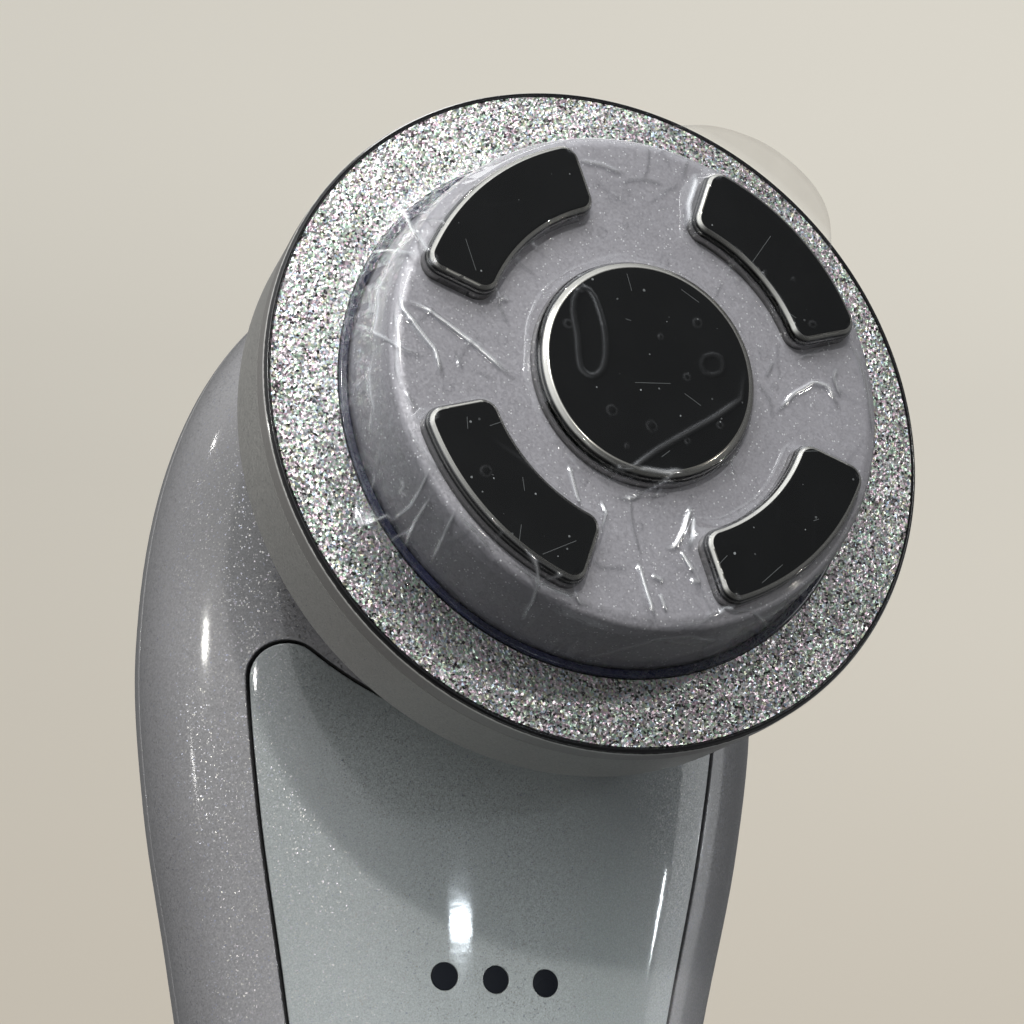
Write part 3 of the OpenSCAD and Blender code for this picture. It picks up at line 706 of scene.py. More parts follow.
STEP = 1.05
open_loop = resample(to_uv(outline(0.22 + 0.1)), 0.42)
neck_loop = skin_hole(head, HN, 17.1 + 0.18, -34, -8, 260)
front_shell = plate("front_shell", half_loop(-1), [open_loop, neck_loop], STEP, front3d, skin_normal, 1.6,
                    [0.12, 0.1, 0.18], walls=[None, None, -HN], mat=pearl_body, slot="pearl_body")
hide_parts("front_housing")
rear_shell = plate("rear_shell", half_loop(1), [], STEP, rear3d, skin_normal, 1.6, 0.12, mat=pearl_rear_painted_lighter,
                   slot="pearl_body")
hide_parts("rear_housing")

panel_loop = resample(to_uv(outline(-0.15)), 0.42)
holes = [skin_hole(ctl, CN, 5.5 + 1.12 + 0.08, -6, 3, 150),
         skin_hole(lambda p: ctl(p, -18.0), CN, 4.2 + 1.12 + 0.08, -6, 3, 120)]
walls = [None, -CN, -CN]
for i in (-1, 0, 1):
    holes.append(skin_hole(lambda p, i=i: ctl(np.asarray(p) + [i * 3.94, 0, 0], 20.1), CN, 1.02 + 0.06, -4, 3, 44))
    walls.append(-CN)
panel = plate("front_panel_skin", panel_loop, holes, 0.9, front3d, skin_normal, 1.45,
              [0.15, 0.08, 0.08, 0.06, 0.06, 0.06], walls=walls, mat=pearl_panel, slot="pearl_panel")
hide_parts("front_panel")

black_lens = moulded("black_lens", (0.006, 0.007, 0.010), 0.30, 0, 3000, 0.12, 0.00001, 0.2, spec=0.12)
for i, tag in ((-1, "left"), (0, "middle"), (1, "right")):
    lathe("indicator_lens_" + tag, [(0, -1.6), (1.0, -1.6), (1.0, 0.06), (0, 0.085)], [0, 0.05, 0.05, 0],
                      lambda p, i=i: ctl(np.asarray(p) + [i * 3.94, 0, 0], 20.1), 64, mat=black_lens, slot="window_black")
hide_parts("indicator_windows")


def section(off, z, n=220, lift=None):
    """A closed section of the foot's outline, inset by off, counter-clockwise seen from above."""
    w, yc, fd, rd = [float(v) for v in prof(3.0)]
    a = np.arange(n) * 2 * math.pi / n
    s, c = np.sin(a), np.cos(a)
    x = (w - off) * spow(c, 2 / SEC)
    y = yc + np.where(s < 0, fd - off, rd - off) * spow(s, 2 / SEC)
    return np.stack([x, y, np.full(n, z)], 1)


def stadium(w, t, z, n=48):
    a = np.linspace(-math.pi / 2, math.pi / 2, n // 2)
    rt = np.stack([(w - t) / 2 + t / 2 * np.cos(a), t / 2 * np.sin(a)], 1)
    lp = np.vstack([rt, -rt])
    return np.stack([lp[:, 0], lp[:, 1] + 4.1, np.full(len(lp), z)], 1)


def ring_solid(name, rows, slot_rows, **kw):
    """A closed flat ring: rows of its outer side from the top to the bottom, then of its slot from the bottom up."""
    V, NV, F = [], [], []

    def strip(rws, sign):
        prev = None
        for pts, nrm in rws:
            base = len(V)
            V.extend(pts.tolist())
            NV.extend(nrm.tolist())
            n = len(pts)
            if prev is not None:
                for i in range(n):
                    j = (i + 1) % n
                    F.append((prev + i, base + i, base + j, prev + j) if sign > 0 else
                             (prev + i, base + i, base + j, prev + j))
            prev = base

    def side_rows(rws):
        out = []
        for maker, z, nr, nz in rws:
            pts = maker(z)
            d = np.roll(pts, -1, 0) - np.roll(pts, 1, 0)
            nn = np.stack([d[:, 1], -d[:, 0], np.zeros(len(d))], 1)
            nn /= np.maximum(np.linalg.norm(nn, axis=1, keepdims=True), 1e-9)
            nrm = nn * nr
            nrm[:, 2] = nz
            out.append((pts, nrm))
        return out

    strip(side_rows(rows), 1)
    inner = side_rows(slot_rows)
    strip([(p[::-1], n_[::-1]) for p, n_ in inner], 1)
    for outer_pts, hole_pts, up in ((rows[0], slot_rows[-1], 1), (rows[-1], slot_rows[0], -1)):
        o = outer_pts[0](outer_pts[1])
        h = hole_pts[0](hole_pts[1])
        uv, tris, _l = triangulate(o[:, :2], [h[:, :2]], 1.4)
        base = len(V)
        z = o[0, 2]
        V.extend(np.stack([uv[:, 0], uv[:, 1], np.full(len(uv), z)], 1).tolist())
        NV.extend([[0, 0, up]] * len(uv))
        F.extend([tuple(base + q for q in (t if up > 0 else t[::-1])) for t in tris])
    return make(name, V, F, NV, **kw)


def sec_maker(off):
    return lambda z: section(off, z)


def st_maker(w, t):
    return lambda z: stadium(w, t, z)


base_rows = [(sec_maker(0.14), 2.97, 0.25, 0.97)]
base_rows += [(sec_maker(0.02 + 0.12 * (1 - math.sin(a))), 2.85 + 0.12 * math.cos(a), math.sin(a), math.cos(a))
              for a in np.linspace(0.3, math.pi / 2, 4)]
base_rows += [(sec_maker(0.9 * (1 - math.cos(a))), 1.5 - 0.88 * math.sin(a), math.cos(a), -math.sin(a))
              for a in np.linspace(0, math.pi / 2, 9)]
base_rows += [(sec_maker(2.85), 0.62, 0, -1), (sec_maker(2.95), 0.66, -0.7, -0.7), (sec_maker(2.98), 0.74, -1, 0),
              (sec_maker(2.98), 1.0, -1, 0)]
base_slot = [(st_maker(9.6, 3.8), 1.0, -0.7, -0.7), (st_maker(9.44, 3.64), 1.06, -0.95, -0.3),
             (st_maker(9.4, 3.6), 1.15, -1, 0), (st_maker(9.4, 3.6), 2.97, -1, 0)]
base_cap = ring_solid("base_cover", base_rows, base_slot, mat=pearl_body, slot="pearl_body")
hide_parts("base_cap")

rubber = moulded("foot_rubber", rgb(58, 58, 61), 0.78, 0, 3800, 0.6, 0.00006, 0.16, spec=0.3)
pad_rows = [(sec_maker(3.12), 0.97, 1, 0), (sec_maker(3.12), 0.3, 1, 0)]
pad_rows += [(sec_maker(3.12 + 0.28 * (1 - math.cos(a))), 0.28 - 0.28 * math.sin(a), math.cos(a), -math.sin(a))
             for a in np.linspace(0.15, math.pi / 2, 6)]
pad_slot = [(st_maker(11.4, 5.4), 0.0, -0.3, -0.95), (st_maker(11.16, 5.16), 0.07, -0.7, -0.7),
            (st_maker(11.0, 5.0), 0.22, -1, 0), (st_maker(11.0, 5.0), 0.97, -1, 0)]
foot = ring_solid("foot_rubber_pad", pad_rows, pad_slot, mat=rubber, slot="foot_rubber")
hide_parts("foot_pad")

# =============================================================================
# Buttons and their rings
# =============================================================================
silver = moulded("button_silver", rgb(214, 213, 212), 0.24, 1.0, 2600, 0.10, 0.00001, 0.05, brushed=(1, 1, 14))
gunmetal = moulded("ring_gunmetal", rgb(128, 130, 136), 0.22, 1.0, 3000, 0.08, 0.00001, 0.06)
for tag, r, v, n in (("power", 5.5, 0.0, 144), ("level", 4.2, -18.0, 128)):
    place = (lambda p, v=v: ctl(p, v))
    cap = lathe(tag + "_button_cap",
                [(0, -5.9), (1.5, -5.9), (1.5, -5.1), (r + 0.7, -5.1), (r + 0.7, -4.35), (r, -4.35), (r, 0.36),
                 (r - 0.32, 0.62), (r * 0.72, 0.47), (r * 0.4, 0.40), (0, 0.38)],
                [0, 0.1, 0.1, 0.1, 0.1, 0.1, 0.12, 0.22, 1.6, 3.0, 0], place, n, body=tag + "_button", mat=silver,
                slot="button_silver")
    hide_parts(tag + "_button")
    bezel = lathe(tag + "_bezel",
                  [(r + 0.1, -4.1), (r + 2.6, -4.1), (r + 2.6, -3.35), (r + 1, -3.35), (r + 1, 0.02), (r + 0.82, 0.2),
                   (r + 0.25, 0.2), (r + 0.1, 0.05)],
                  [0.05, 0.1, 0.1, 0.1, 0.06, 0.08, 0.06, 0.05], place, n, mat=gunmetal, slot="ring_gunmetal")
    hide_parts(tag + "_button_ring")

# =============================================================================
# The head: drum, rings, puck and electrodes
# =============================================================================
collar_m = pearl("collar_grey", rgb(161, 159, 154), 9000, 0.08, 0.12, 0.42, 0.35, 0.2, lift=0.6)
collar = lathe("drum_wall",
               [(10, -8.1), (24.0, -8.1), (24.62, -7.75), (24.97, -1.84), (23.2, -1.84), (23.2, -6.5), (10, -6.5)],
               [0.2, 0.35, 0.35, 0.06, 0.1, 0.1, 0.2], head, 360, mat=collar_m, slot="collar_grey")
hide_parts("head_collar")
neck_m = moulded("neck_grey", rgb(96, 96, 100), 0.5, 0, 3000, 0.25, 0.00003, 0.1, coat=0.2)
neck = lathe("neck_barrel",
             [(11.5, -10.2), (15.2, -10.2), (15.2, -26), (18.3, -26), (18.7, -25.3), (18.7, -24.9), (17.0, -24.9),
              (17.0, -10.5), (17.5, -9.3), (17.8, -8.6), (11.5, -8.6)],
             [0.1] * 11, head, 200, mat=neck_m, slot="neck_grey")
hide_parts("neck_tube")
gasket_m = moulded("gasket_rubber", (0.012, 0.012, 0.013), 0.6, 0, 4000, 0.4, 0.00003, 0.2)
gasket = lathe("neck_seal", [(11.5, -8.58), (17.4, -8.58), (17.4, -8.12), (11.5, -8.12)], 0.12, head, 200,
               mat=gasket_m, slot="gasket_black")
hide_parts("neck_gasket")


def rim_material():
    """Black gloss on the rim's crest; its lower edge keeps the drum's grey, with a painted highlight: a lighter grey
    line just below the black.
    """
    m = Mat("rim_black")
    co = m.coord()
    h = m.add("ShaderNodeVectorMath", {0: co, 1: tuple(HN)}, operation="DOT_PRODUCT").outputs["Value"]
    h = m.math("MULTIPLY", m.math("SUBTRACT", h, float(HEAD0 @ HN) * MM), 1000.0)
    n = m.noise(co, 2400, 3)
    h = m.math("ADD", h, m.math("MULTIPLY", m.math("SUBTRACT", n, 0.5), 0.05))
    dark = m.rng(h, -0.30, -0.25, 0.0, 1.0, True)
    # painted highlight: a lighter grey line just below the black, where the edge would catch the light
    edge = m.math("MULTIPLY", m.rng(h, -0.52, -0.38, 0.0, 1.0, True), m.math("SUBTRACT", 1.0, dark))
    grey = m.mix(edge, c4(rgb(140, 137, 133)), c4(rgb(205, 204, 200)))
    tone = m.rng(m.noise(co, 5200, 2), 0.25, 0.75, 0.9, 1.1)
    grey = m.mix(1.0, grey, m.add("ShaderNodeCombineColor", {0: tone, 1: tone, 2: tone}).outputs[0], "MULTIPLY")
    col = m.mix(dark, grey, (0.008, 0.008, 0.009, 1))
    ro = m.rng(dark, 0, 1, 0.40, 0.20)
    return m.end(m.shader(Base_Color=col, Roughness=ro, Coat_Weight=0.4, Coat_Roughness=0.08,
                          Normal=m.bump(n, 0.08, 0.00001)))


rim_m = rim_material()
rim = lathe("rim_band", [(24.3, -1.8), (25.0, -1.8), (25.0, -0.30), (24.93, -0.24), (24.92, -0.12), (24.82, 0.10),
                         (24.70, 0.10), (24.60, -0.02), (24.60, -1.1), (24.3, -1.1)],
            [0.05, 0.1, 0.06, 0.03, 0.08, 0.07, 0.05, 0.04, 0.05, 0.05], head, 360, mat=rim_m, slot="rim_black")
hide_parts("rim_ring")


def glitter_material():
    m = Mat("glitter_silver")
    co = m.coord()
    v = m.voronoi(co, 5600)
    w = m.voronoi(co, 9800)
    a = m.add("ShaderNodeSeparateColor", {0: v.outputs["Color"]})
    b = m.add("ShaderNodeSeparateColor", {0: w.outputs["Color"]})
    mixv = m.math("ADD", m.math("MULTIPLY", a.outputs[0], 0.72), m.math("MULTIPLY", b.outputs[0], 0.28))
    grain = m.ramp(mixv, [(0.0, 0.02), (0.20, 0.05), (0.29, 0.25), (0.38, 0.62), (0.52, 0.92), (0.78, 1.0)])
    hue = m.ramp(a.outputs[1], [(0.0, (0.66, 0.80, 1.0)), (0.2, (1.0, 1.0, 0.97)), (0.45, (1.0, 0.72, 0.86)),
                                (0.62, (1.0, 1.0, 0.98)), (0.8, (0.70, 1.0, 0.78)), (1.0, (1.0, 0.90, 0.68))])
    col = m.mix(1.0, grain, hue, "MULTIPLY")
    cloud = m.rng(m.noise(co, 130, 3), 0.3, 0.7, 0.85, 1.1)
    col = m.mix(1.0, col, m.add("ShaderNodeCombineColor", {0: cloud, 1: cloud, 2: cloud}).outputs[0], "MULTIPLY")
    return m.end(m.shader(Base_Color=col, Metallic=0.90, Roughness=0.30, Normal=m.tilted(v.outputs["Color"], 0.20)))


glitter_m = glitter_material()


def glitter_ring():
    """Silver ring whose top is a bed of small tilted facets, one for each grain."""
    V, NV, F = [], [], []
    nt, nr = 760, 27
    rr = np.linspace(19.80, 24.55, nr)
    base_a = np.arange(nt) * 2 * math.pi / nt
    grid = np.zeros((nr, nt, 3))
    for i, r in enumerate(rr):
        edge = i in (0, nr - 1)
        jr = 0 if edge else rng.uniform(-0.06, 0.06, nt)
        ja = base_a + (0.5 * (i % 2) + rng.uniform(-0.3, 0.3, nt)) * 2 * math.pi / nt
        hh = -0.02 if edge else -0.028 + rng.uniform(-0.02, 0.02, nt)
        grid[i, :, 0] = (r + jr) * np.cos(ja)
        grid[i, :, 1] = (r + jr) * np.sin(ja)
        grid[i, :, 2] = hh
    V = grid.reshape(-1, 3).tolist()
    for i in range(nr - 1):
        for j in range(nt):
            k = (j + 1) % nt
            a, b, c, d = i * nt + j, (i + 1) * nt + j, (i + 1) * nt + k, i * nt + k
            if i % 2:
                F += [(a, b, d), (b, c, d)]
            else:
                F += [(a, b, c), (a, c, d)]
    # side walls and underside
    def row(r, h):
        base = len(V)
        V.extend(np.stack([r * np.cos(base_a), r * np.sin(base_a), np.full(nt, h)], 1).tolist())
        return base
    o1, o2 = row(24.57, -0.06), row(24.57, -1.0)
    i2, i1 = row(19.77, -1.0), row(19.77, -0.06)
    seq = [(nr - 1) * nt, o1, o2, i2, i1, 0]
    for p, q in zip(seq[:-1], seq[1:]):
        for j in range(nt):
            k = (j + 1) % nt
            F.append((p + j, q + j, q + k, p + k))
    ob = make("glitter_band", head(np.array(V)), F, None, mat=glitter_m, slot="glitter_silver")
    ob.data.shade_flat()
    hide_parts("glitter_ring")
    return ob


glitter = glitter_ring()


def light_ring_material():
    m = Mat("light_ring_navy")
    co = m.coord()
    n = m.noise(co, 300, 3)
    col = m.ramp(n, [(0.3, rgb(22, 26, 52)), (0.7, rgb(34, 38, 70))])
    return m.end(m.shader(Base_Color=col, Roughness=0.16, IOR=1.5, Coat_Weight=0.6, Coat_Roughness=0.05,
                          Normal=m.bump(m.noise(co, 2500, 2), 0.06, 0.00001)))


light_m = light_ring_material()
light = lathe("light_guide", [(19.06, -2.02), (21.8, -2.02), (21.8, -1.04), (19.7, -1.04), (19.7, 0.08), (19.56, 0.17),
                              (19.18, 0.17), (19.06, 0.06)], [0.05, 0.1, 0.1, 0.05, 0.1, 0.12, 0.1, 0.05], head, 320,
              mat=light_m, slot="light_ring_navy")
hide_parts("light_ring")


def puck_material():
    m = Mat("puck_lilac")
    co = m.coord()
    v = m.voronoi(co, 6400)
    s = m.add("ShaderNodeSeparateColor", {0: v.outputs["Color"]})
    cloud = m.rng(m.noise(co, 110, 4), 0.3, 0.7, 0.93, 1.08)
    fine = m.rng(m.noise(co, 6000, 2, 0.6), 0.25, 0.75, 0.86, 1.14)
    tone = m.math("MULTIPLY", cloud, fine)
    col = m.mix(1.0, c4(rgb(158, 157, 163)), m.add("ShaderNodeCombineColor", {0: tone, 1: tone, 2: tone}).outputs[0],
                "MULTIPLY")
    under = m.shader(Base_Color=col, Metallic=0.22, Roughness=0.44, Specular_IOR_Level=0.5, Coat_Weight=0.6,
                     Coat_Roughness=0.06, Normal=m.tilted(v.outputs["Color"], 0.08))
    dot = m.shader(Base_Color=(0.86, 0.87, 0.90, 1), Metallic=0.35, Roughness=0.35,
                   Normal=m.tilted(v.outputs["Color"], 0.2), Coat_Weight=0.6, Coat_Roughness=0.06)
    on = m.math("GREATER_THAN", s.outputs[0], 0.93)
    size = m.math("LESS_THAN", v.outputs["Distance"], 0.42)
    return m.end(m.mixs(m.math("MULTIPLY", on, size), under, dot))


puck_m = puck_material()
puck = lathe("electrode_puck", [(17.2, -2.8), (19.0, -2.8), (19.0, 0.6), (18.5, 5.3), (18.2, 6.35), (17.45, 6.6), (0, 6.6),
                                (0, 5.0), (16.9, 5.0)], [0.2, 0.2, 2.0, 2.0, 0.55, 1.2, 0, 0, 0.3], head, 320, seg=6,
             mat=puck_m, slot="puck_lilac")
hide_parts("electrode_carrier")


def chrome_material():
    """Black mirror faces with dust and hair scratches; the rounded edge shows the bare bright metal, and the side's
    colour runs in painted reflection stripes, light and dark, by height.
    """
    m = Mat("black_chrome")
    co = m.coord()
    soft = m.noise(co, 220, 2)
    dust = m.voronoi(co, 1300)
    ds = m.add("ShaderNodeSeparateColor", {0: dust.outputs["Color"]})
    speck = m.math("MULTIPLY", m.math("GREATER_THAN", ds.outputs[0], 0.55),
                   m.math("LESS_THAN", dust.outputs["Distance"], m.rng(ds.outputs[1], 0, 1, 0.02, 0.13)))
    speck = m.math("MULTIPLY", speck, m.rng(ds.outputs[2], 0.0, 1.0, 0.15, 0.75))
    # hair scratches: one short straight line in some cells of a coarse pattern
    cell = m.voronoi(co, 260)
    cc = m.add("ShaderNodeSeparateColor", {0: cell.outputs["Color"]})
    off = m.add("ShaderNodeVectorMath", {0: co, 1: cell.outputs["Position"]}, operation="SUBTRACT").outputs[0]
    px = m.add("ShaderNodeVectorMath", {0: off, 1: tuple(HEAD[:, 0])}, operation="DOT_PRODUCT").outputs["Value"]
    py = m.add("ShaderNodeVectorMath", {0: off, 1: tuple(HEAD[:, 1])}, operation="DOT_PRODUCT").outputs["Value"]
    turn = m.math("MULTIPLY", cc.outputs[0], 3.14159)
    si, cs = m.math("SINE", turn), m.math("COSINE", turn)
    along = m.math("ABSOLUTE", m.math("ADD", m.math("MULTIPLY", px, cs), m.math("MULTIPLY", py, si)))
    across = m.math("ABSOLUTE", m.math("SUBTRACT", m.math("MULTIPLY", py, cs), m.math("MULTIPLY", px, si)))
    line = m.math("MULTIPLY", m.math("LESS_THAN", across, 0.000022),
                  m.math("LESS_THAN", along, m.rng(cc.outputs[1], 0.0, 1.0, 0.0004, 0.0016)))
    line = m.math("MULTIPLY", line, m.math("GREATER_THAN", cc.outputs[2], 0.62))
    mark = m.math("MAXIMUM", speck, m.math("MULTIPLY", line, 0.28))
    col = m.mix(mark, (0.0040, 0.0046, 0.0048, 1), (0.42, 0.45, 0.46, 1))
    h = m.add("ShaderNodeVectorMath", {0: co, 1: tuple(HN)}, operation="DOT_PRODUCT").outputs["Value"]
    h = m.math("MULTIPLY", m.math("SUBTRACT", h, float(HEAD0 @ HN) * MM), 1000.0)
    side = m.rng(h, 8.056, 8.045, 0.0, 1.0, True)
    # painted reflections: the side's metal colour runs in light and dark stripes by height; at the rounded edge it is
    # the bare bright metal
    side_painted_stripes = m.ramp(m.rng(h, 6.6, 8.1, 0.0, 1.0, True),
                  [(0.0, (0.16, 0.158, 0.15)), (0.22, (0.34, 0.335, 0.325)), (0.50, (0.22, 0.218, 0.21)),
                   (0.58, (0.03, 0.03, 0.032)), (0.68, (0.05, 0.05, 0.05)), (0.76, (0.40, 0.395, 0.375)),
                   (0.84, (0.05, 0.05, 0.05)), (0.90, (0.04, 0.04, 0.042)), (0.945, (0.62, 0.61, 0.57)), (1.0, (0.70, 0.69, 0.64))])
    col = m.mix(side, col, side_painted_stripes)
    ro = m.math("ADD", m.math("MULTIPLY", mark, 0.4), m.rng(soft, 0.3, 0.7, 0.045, 0.075))
    ro = m.math("ADD", ro, m.math("MULTIPLY", side, 0.10))
    return m.end(m.shader(Base_Color=col, Metallic=side, Roughness=ro, IOR=1.75,
                          Normal=m.bump(soft, 0.04, 0.00002)))


chrome_m = chrome_material()
centre = lathe("electrode_centre", [(0, 6.61), (8.30, 6.61), (8.22, 7.3), (7.9, 7.86), (7.52, 8.06), (0, 8.06)],
               [0, 0.06, 0.5, 0.3, 0.45, 0], head, 260, seg=6, mat=chrome_m, slot="black_chrome")
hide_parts("centre_electrode")


def arc_outline(g, rc, n_arc=60, n_cor=12):
    """An annular sector's outline grown by g, corners of radius rc; centred on angle 0, counter-clockwise."""
    ri, ro, span = 12.17 - g, 17.02 + g, math.radians(26.5)
    pts, nrm = [], []
    r1, r2 = ro - rc, ri + rc
    # the flat ends lie on rays through the axis at +-span, moved out by g
    def corner(rad, sign):
        # centre at radius rad, rc inside the end ray moved out by g
        return sign * (span - math.asin((rc - g) / rad))
    a1, a2 = corner(r1, 1), corner(r2, 1)
    for a in np.linspace(-a1, a1, n_arc):
        pts.append([ro * math.cos(a), ro * math.sin(a)])
        nrm.append([math.cos(a), math.sin(a)])
    def arc(cr, ca, b0, b1):
        c = np.array([cr * math.cos(ca), cr * math.sin(ca)])
        for b in np.linspace(b0, b1, n_cor)[1:-1]:
            d = np.array([math.cos(b), math.sin(b)])
            pts.append((c + rc * d).tolist())
            nrm.append(d.tolist())
    arc(r1, a1, a1, span + math.pi / 2)
    for q in np.linspace(0, 1, 12):
        p0 = np.array([r1 * math.cos(a1), r1 * math.sin(a1)])
        p1 = np.array([r2 * math.cos(a2), r2 * math.sin(a2)])
        d = np.array([math.cos(span + math.pi / 2), math.sin(span + math.pi / 2)])
        pts.append((p0 + (p1 - p0) * q + rc * d).tolist())
        nrm.append(d.tolist())
    arc(r2, a2, span + math.pi / 2, a2 + math.pi)
    for a in np.linspace(a2, -a2, n_arc - 12):
        pts.append([ri * math.cos(a), ri * math.sin(a)])
        nrm.append([-math.cos(a), -math.sin(a)])
    arc(r2, -a2, -a2 + math.pi, -span + 3 * math.pi / 2)
    for q in np.linspace(0, 1, 12):
        p0 = np.array([r2 * math.cos(a2), -r2 * math.sin(a2)])
        p1 = np.array([r1 * math.cos(a1), -r1 * math.sin(a1)])
        d = np.array([math.cos(span + math.pi / 2), -math.sin(span + math.pi / 2)])
        pts.append((p0 + (p1 - p0) * q + rc * d).tolist())
        nrm.append(d.tolist())
    arc(r1, -a1, -span - math.pi / 2, -a1)
    return np.array(pts), np.array(nrm)


def arc_electrode(tag, deg):
    pr, pn = round_profile([(0.33, 6.61), (0.30, 7.45), (0.10, 7.88), (-0.16, 8.06), (-0.6, 8.06)],
                           [0.0, 0.45, 0.3, 0.28, 0], 5)
    pr, pn = pr[:-1], pn[:-1]
    pn[0] = (1, 0)
    V, NV, F = [], [], []
    prev = None
    ca, sa = math.cos(math.radians(deg)), math.sin(math.radians(deg))
    R = np.array([[ca, -sa], [sa, ca]])
    for (g, h), (ng, nh) in zip(pr, pn):
        o, d = arc_outline(g, 1.0 + g)
        o, d = o @ R.T, d @ R.T
        base = len(V)
        V.extend(np.column_stack([o, np.full(len(o), h)]).tolist())
        NV.extend(np.column_stack([d * ng, np.full(len(d), nh)]).tolist())
        n = len(o)
        if prev is not None:
            for i in range(n):
                j = (i + 1) % n
                F.append((prev + i, prev + j, base + j, base + i))
        prev = base
    n = len(o)
    for h, up, ring0 in ((8.06, 1, prev), (6.61, -1, 0)):
        loop = np.array(V[ring0:ring0 + n])[:, :2]
        uv, tris, lp = triangulate(loop, [], 0.8)
        base = len(V)
        V.extend(np.column_stack([uv, np.full(len(uv), h)]).tolist())
        NV.extend([[0, 0, up]] * len(uv))
        F.extend([tuple(base + q for q in (t if up > 0 else t[::-1])) for t in tris])
    P = head(np.array(V))
    Nn = np.array(NV) @ HEAD.T
    ob = make("electrode_" + tag, P, F, Nn, mat=chrome_m, slot="black_chrome")
    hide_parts("arc_electrode_" + tag)
    return ob


arcs = [arc_electrode(t, d) for t, d in
        (("upper_left", 135), ("upper_right", 45), ("lower_left", 225), ("lower_right", 315))]


# =============================================================================
# The clear film stretched over the face
# =============================================================================
def arc_mask(x, y, g):
    """True inside the outline of an arc electrode's face grown by g (corners left square)."""
    r, a = np.hypot(x, y), np.degrees(np.arctan2(y, x))
    rel = np.abs(((a - 45) % 90 + 45) % 90 - 45)
    return (r > 12.17 - g) & (r < 17.02 + g) & (rel * math.pi / 180 * r < math.radians(26.5) * r + g)


def electrode_distance(x, y, g):
    """Distance outside the electrodes' outlines grown by g, in the head's plane."""
    r = np.hypot(x, y)
    a = np.abs((np.degrees(np.arctan2(y, x)) % 90) - 45) * math.pi / 180
    px, py = r * np.cos(a), r * np.sin(a)
    r1, r2, rc = 16.02, 13.17, 1.0 + g
    a1 = math.radians(26.5) - math.asin(1.0 / r1)
    a2 = math.radians(26.5) - math.asin(1.0 / r2)
    cx, cy, dx, dy = r2 * math.cos(a2), r2 * math.sin(a2), r1 * math.cos(a1), r1 * math.sin(a1)
    ux, uy = dx - cx, dy - cy
    t = np.clip(((px - cx) * ux + (py - cy) * uy) / (ux * ux + uy * uy), 0, 1)
    side = np.hypot(px - cx - t * ux, py - cy - t * uy)
    beyond = (ux * (py - cy) - uy * (px - cx)) > 0
    core = np.where(beyond, side, np.maximum(np.maximum(r2 - r, r - r1), 0))
    return np.minimum(np.maximum(core - rc, 0), np.maximum(0, r - (8.0 + g)))


def waves(th, seed, ks, amp=1.0):
    """A smooth closed wave round the head, from -amp to amp about."""
    q = np.random.default_rng(seed)
    out = np.zeros_like(th)
    for k in ks:
        out += q.normal(0, 1) * np.cos(k * th + q.uniform(0, 6.283))
    return out * amp / max(1e-9, math.sqrt(len(ks)))


EDGE = [(42, 25.2), (45, 26.4), (50, 27.2), (55, 27.3), (61, 27.1), (68, 26.1), (73, 25.0), (74.5, 24.5), (82, 23.3),
        (90, 22.3), (98, 21.5), (107, 21.1), (118, 21.3), (127, 21.9), (150, 22.2), (180, 22.5), (210, 21.9),
        (225, 22.1), (242, 22.4), (260, 22.0), (310, 21.0), (332.3, 24.2), (336.7, 24.4), (346.3, 21.8), (358, 20.9),
        (363.5, 21.0), (383, 21.5), (396, 22.8), (402, 25.2)]
NT, N1, N2, N3 = 1152, 128, 66, 24


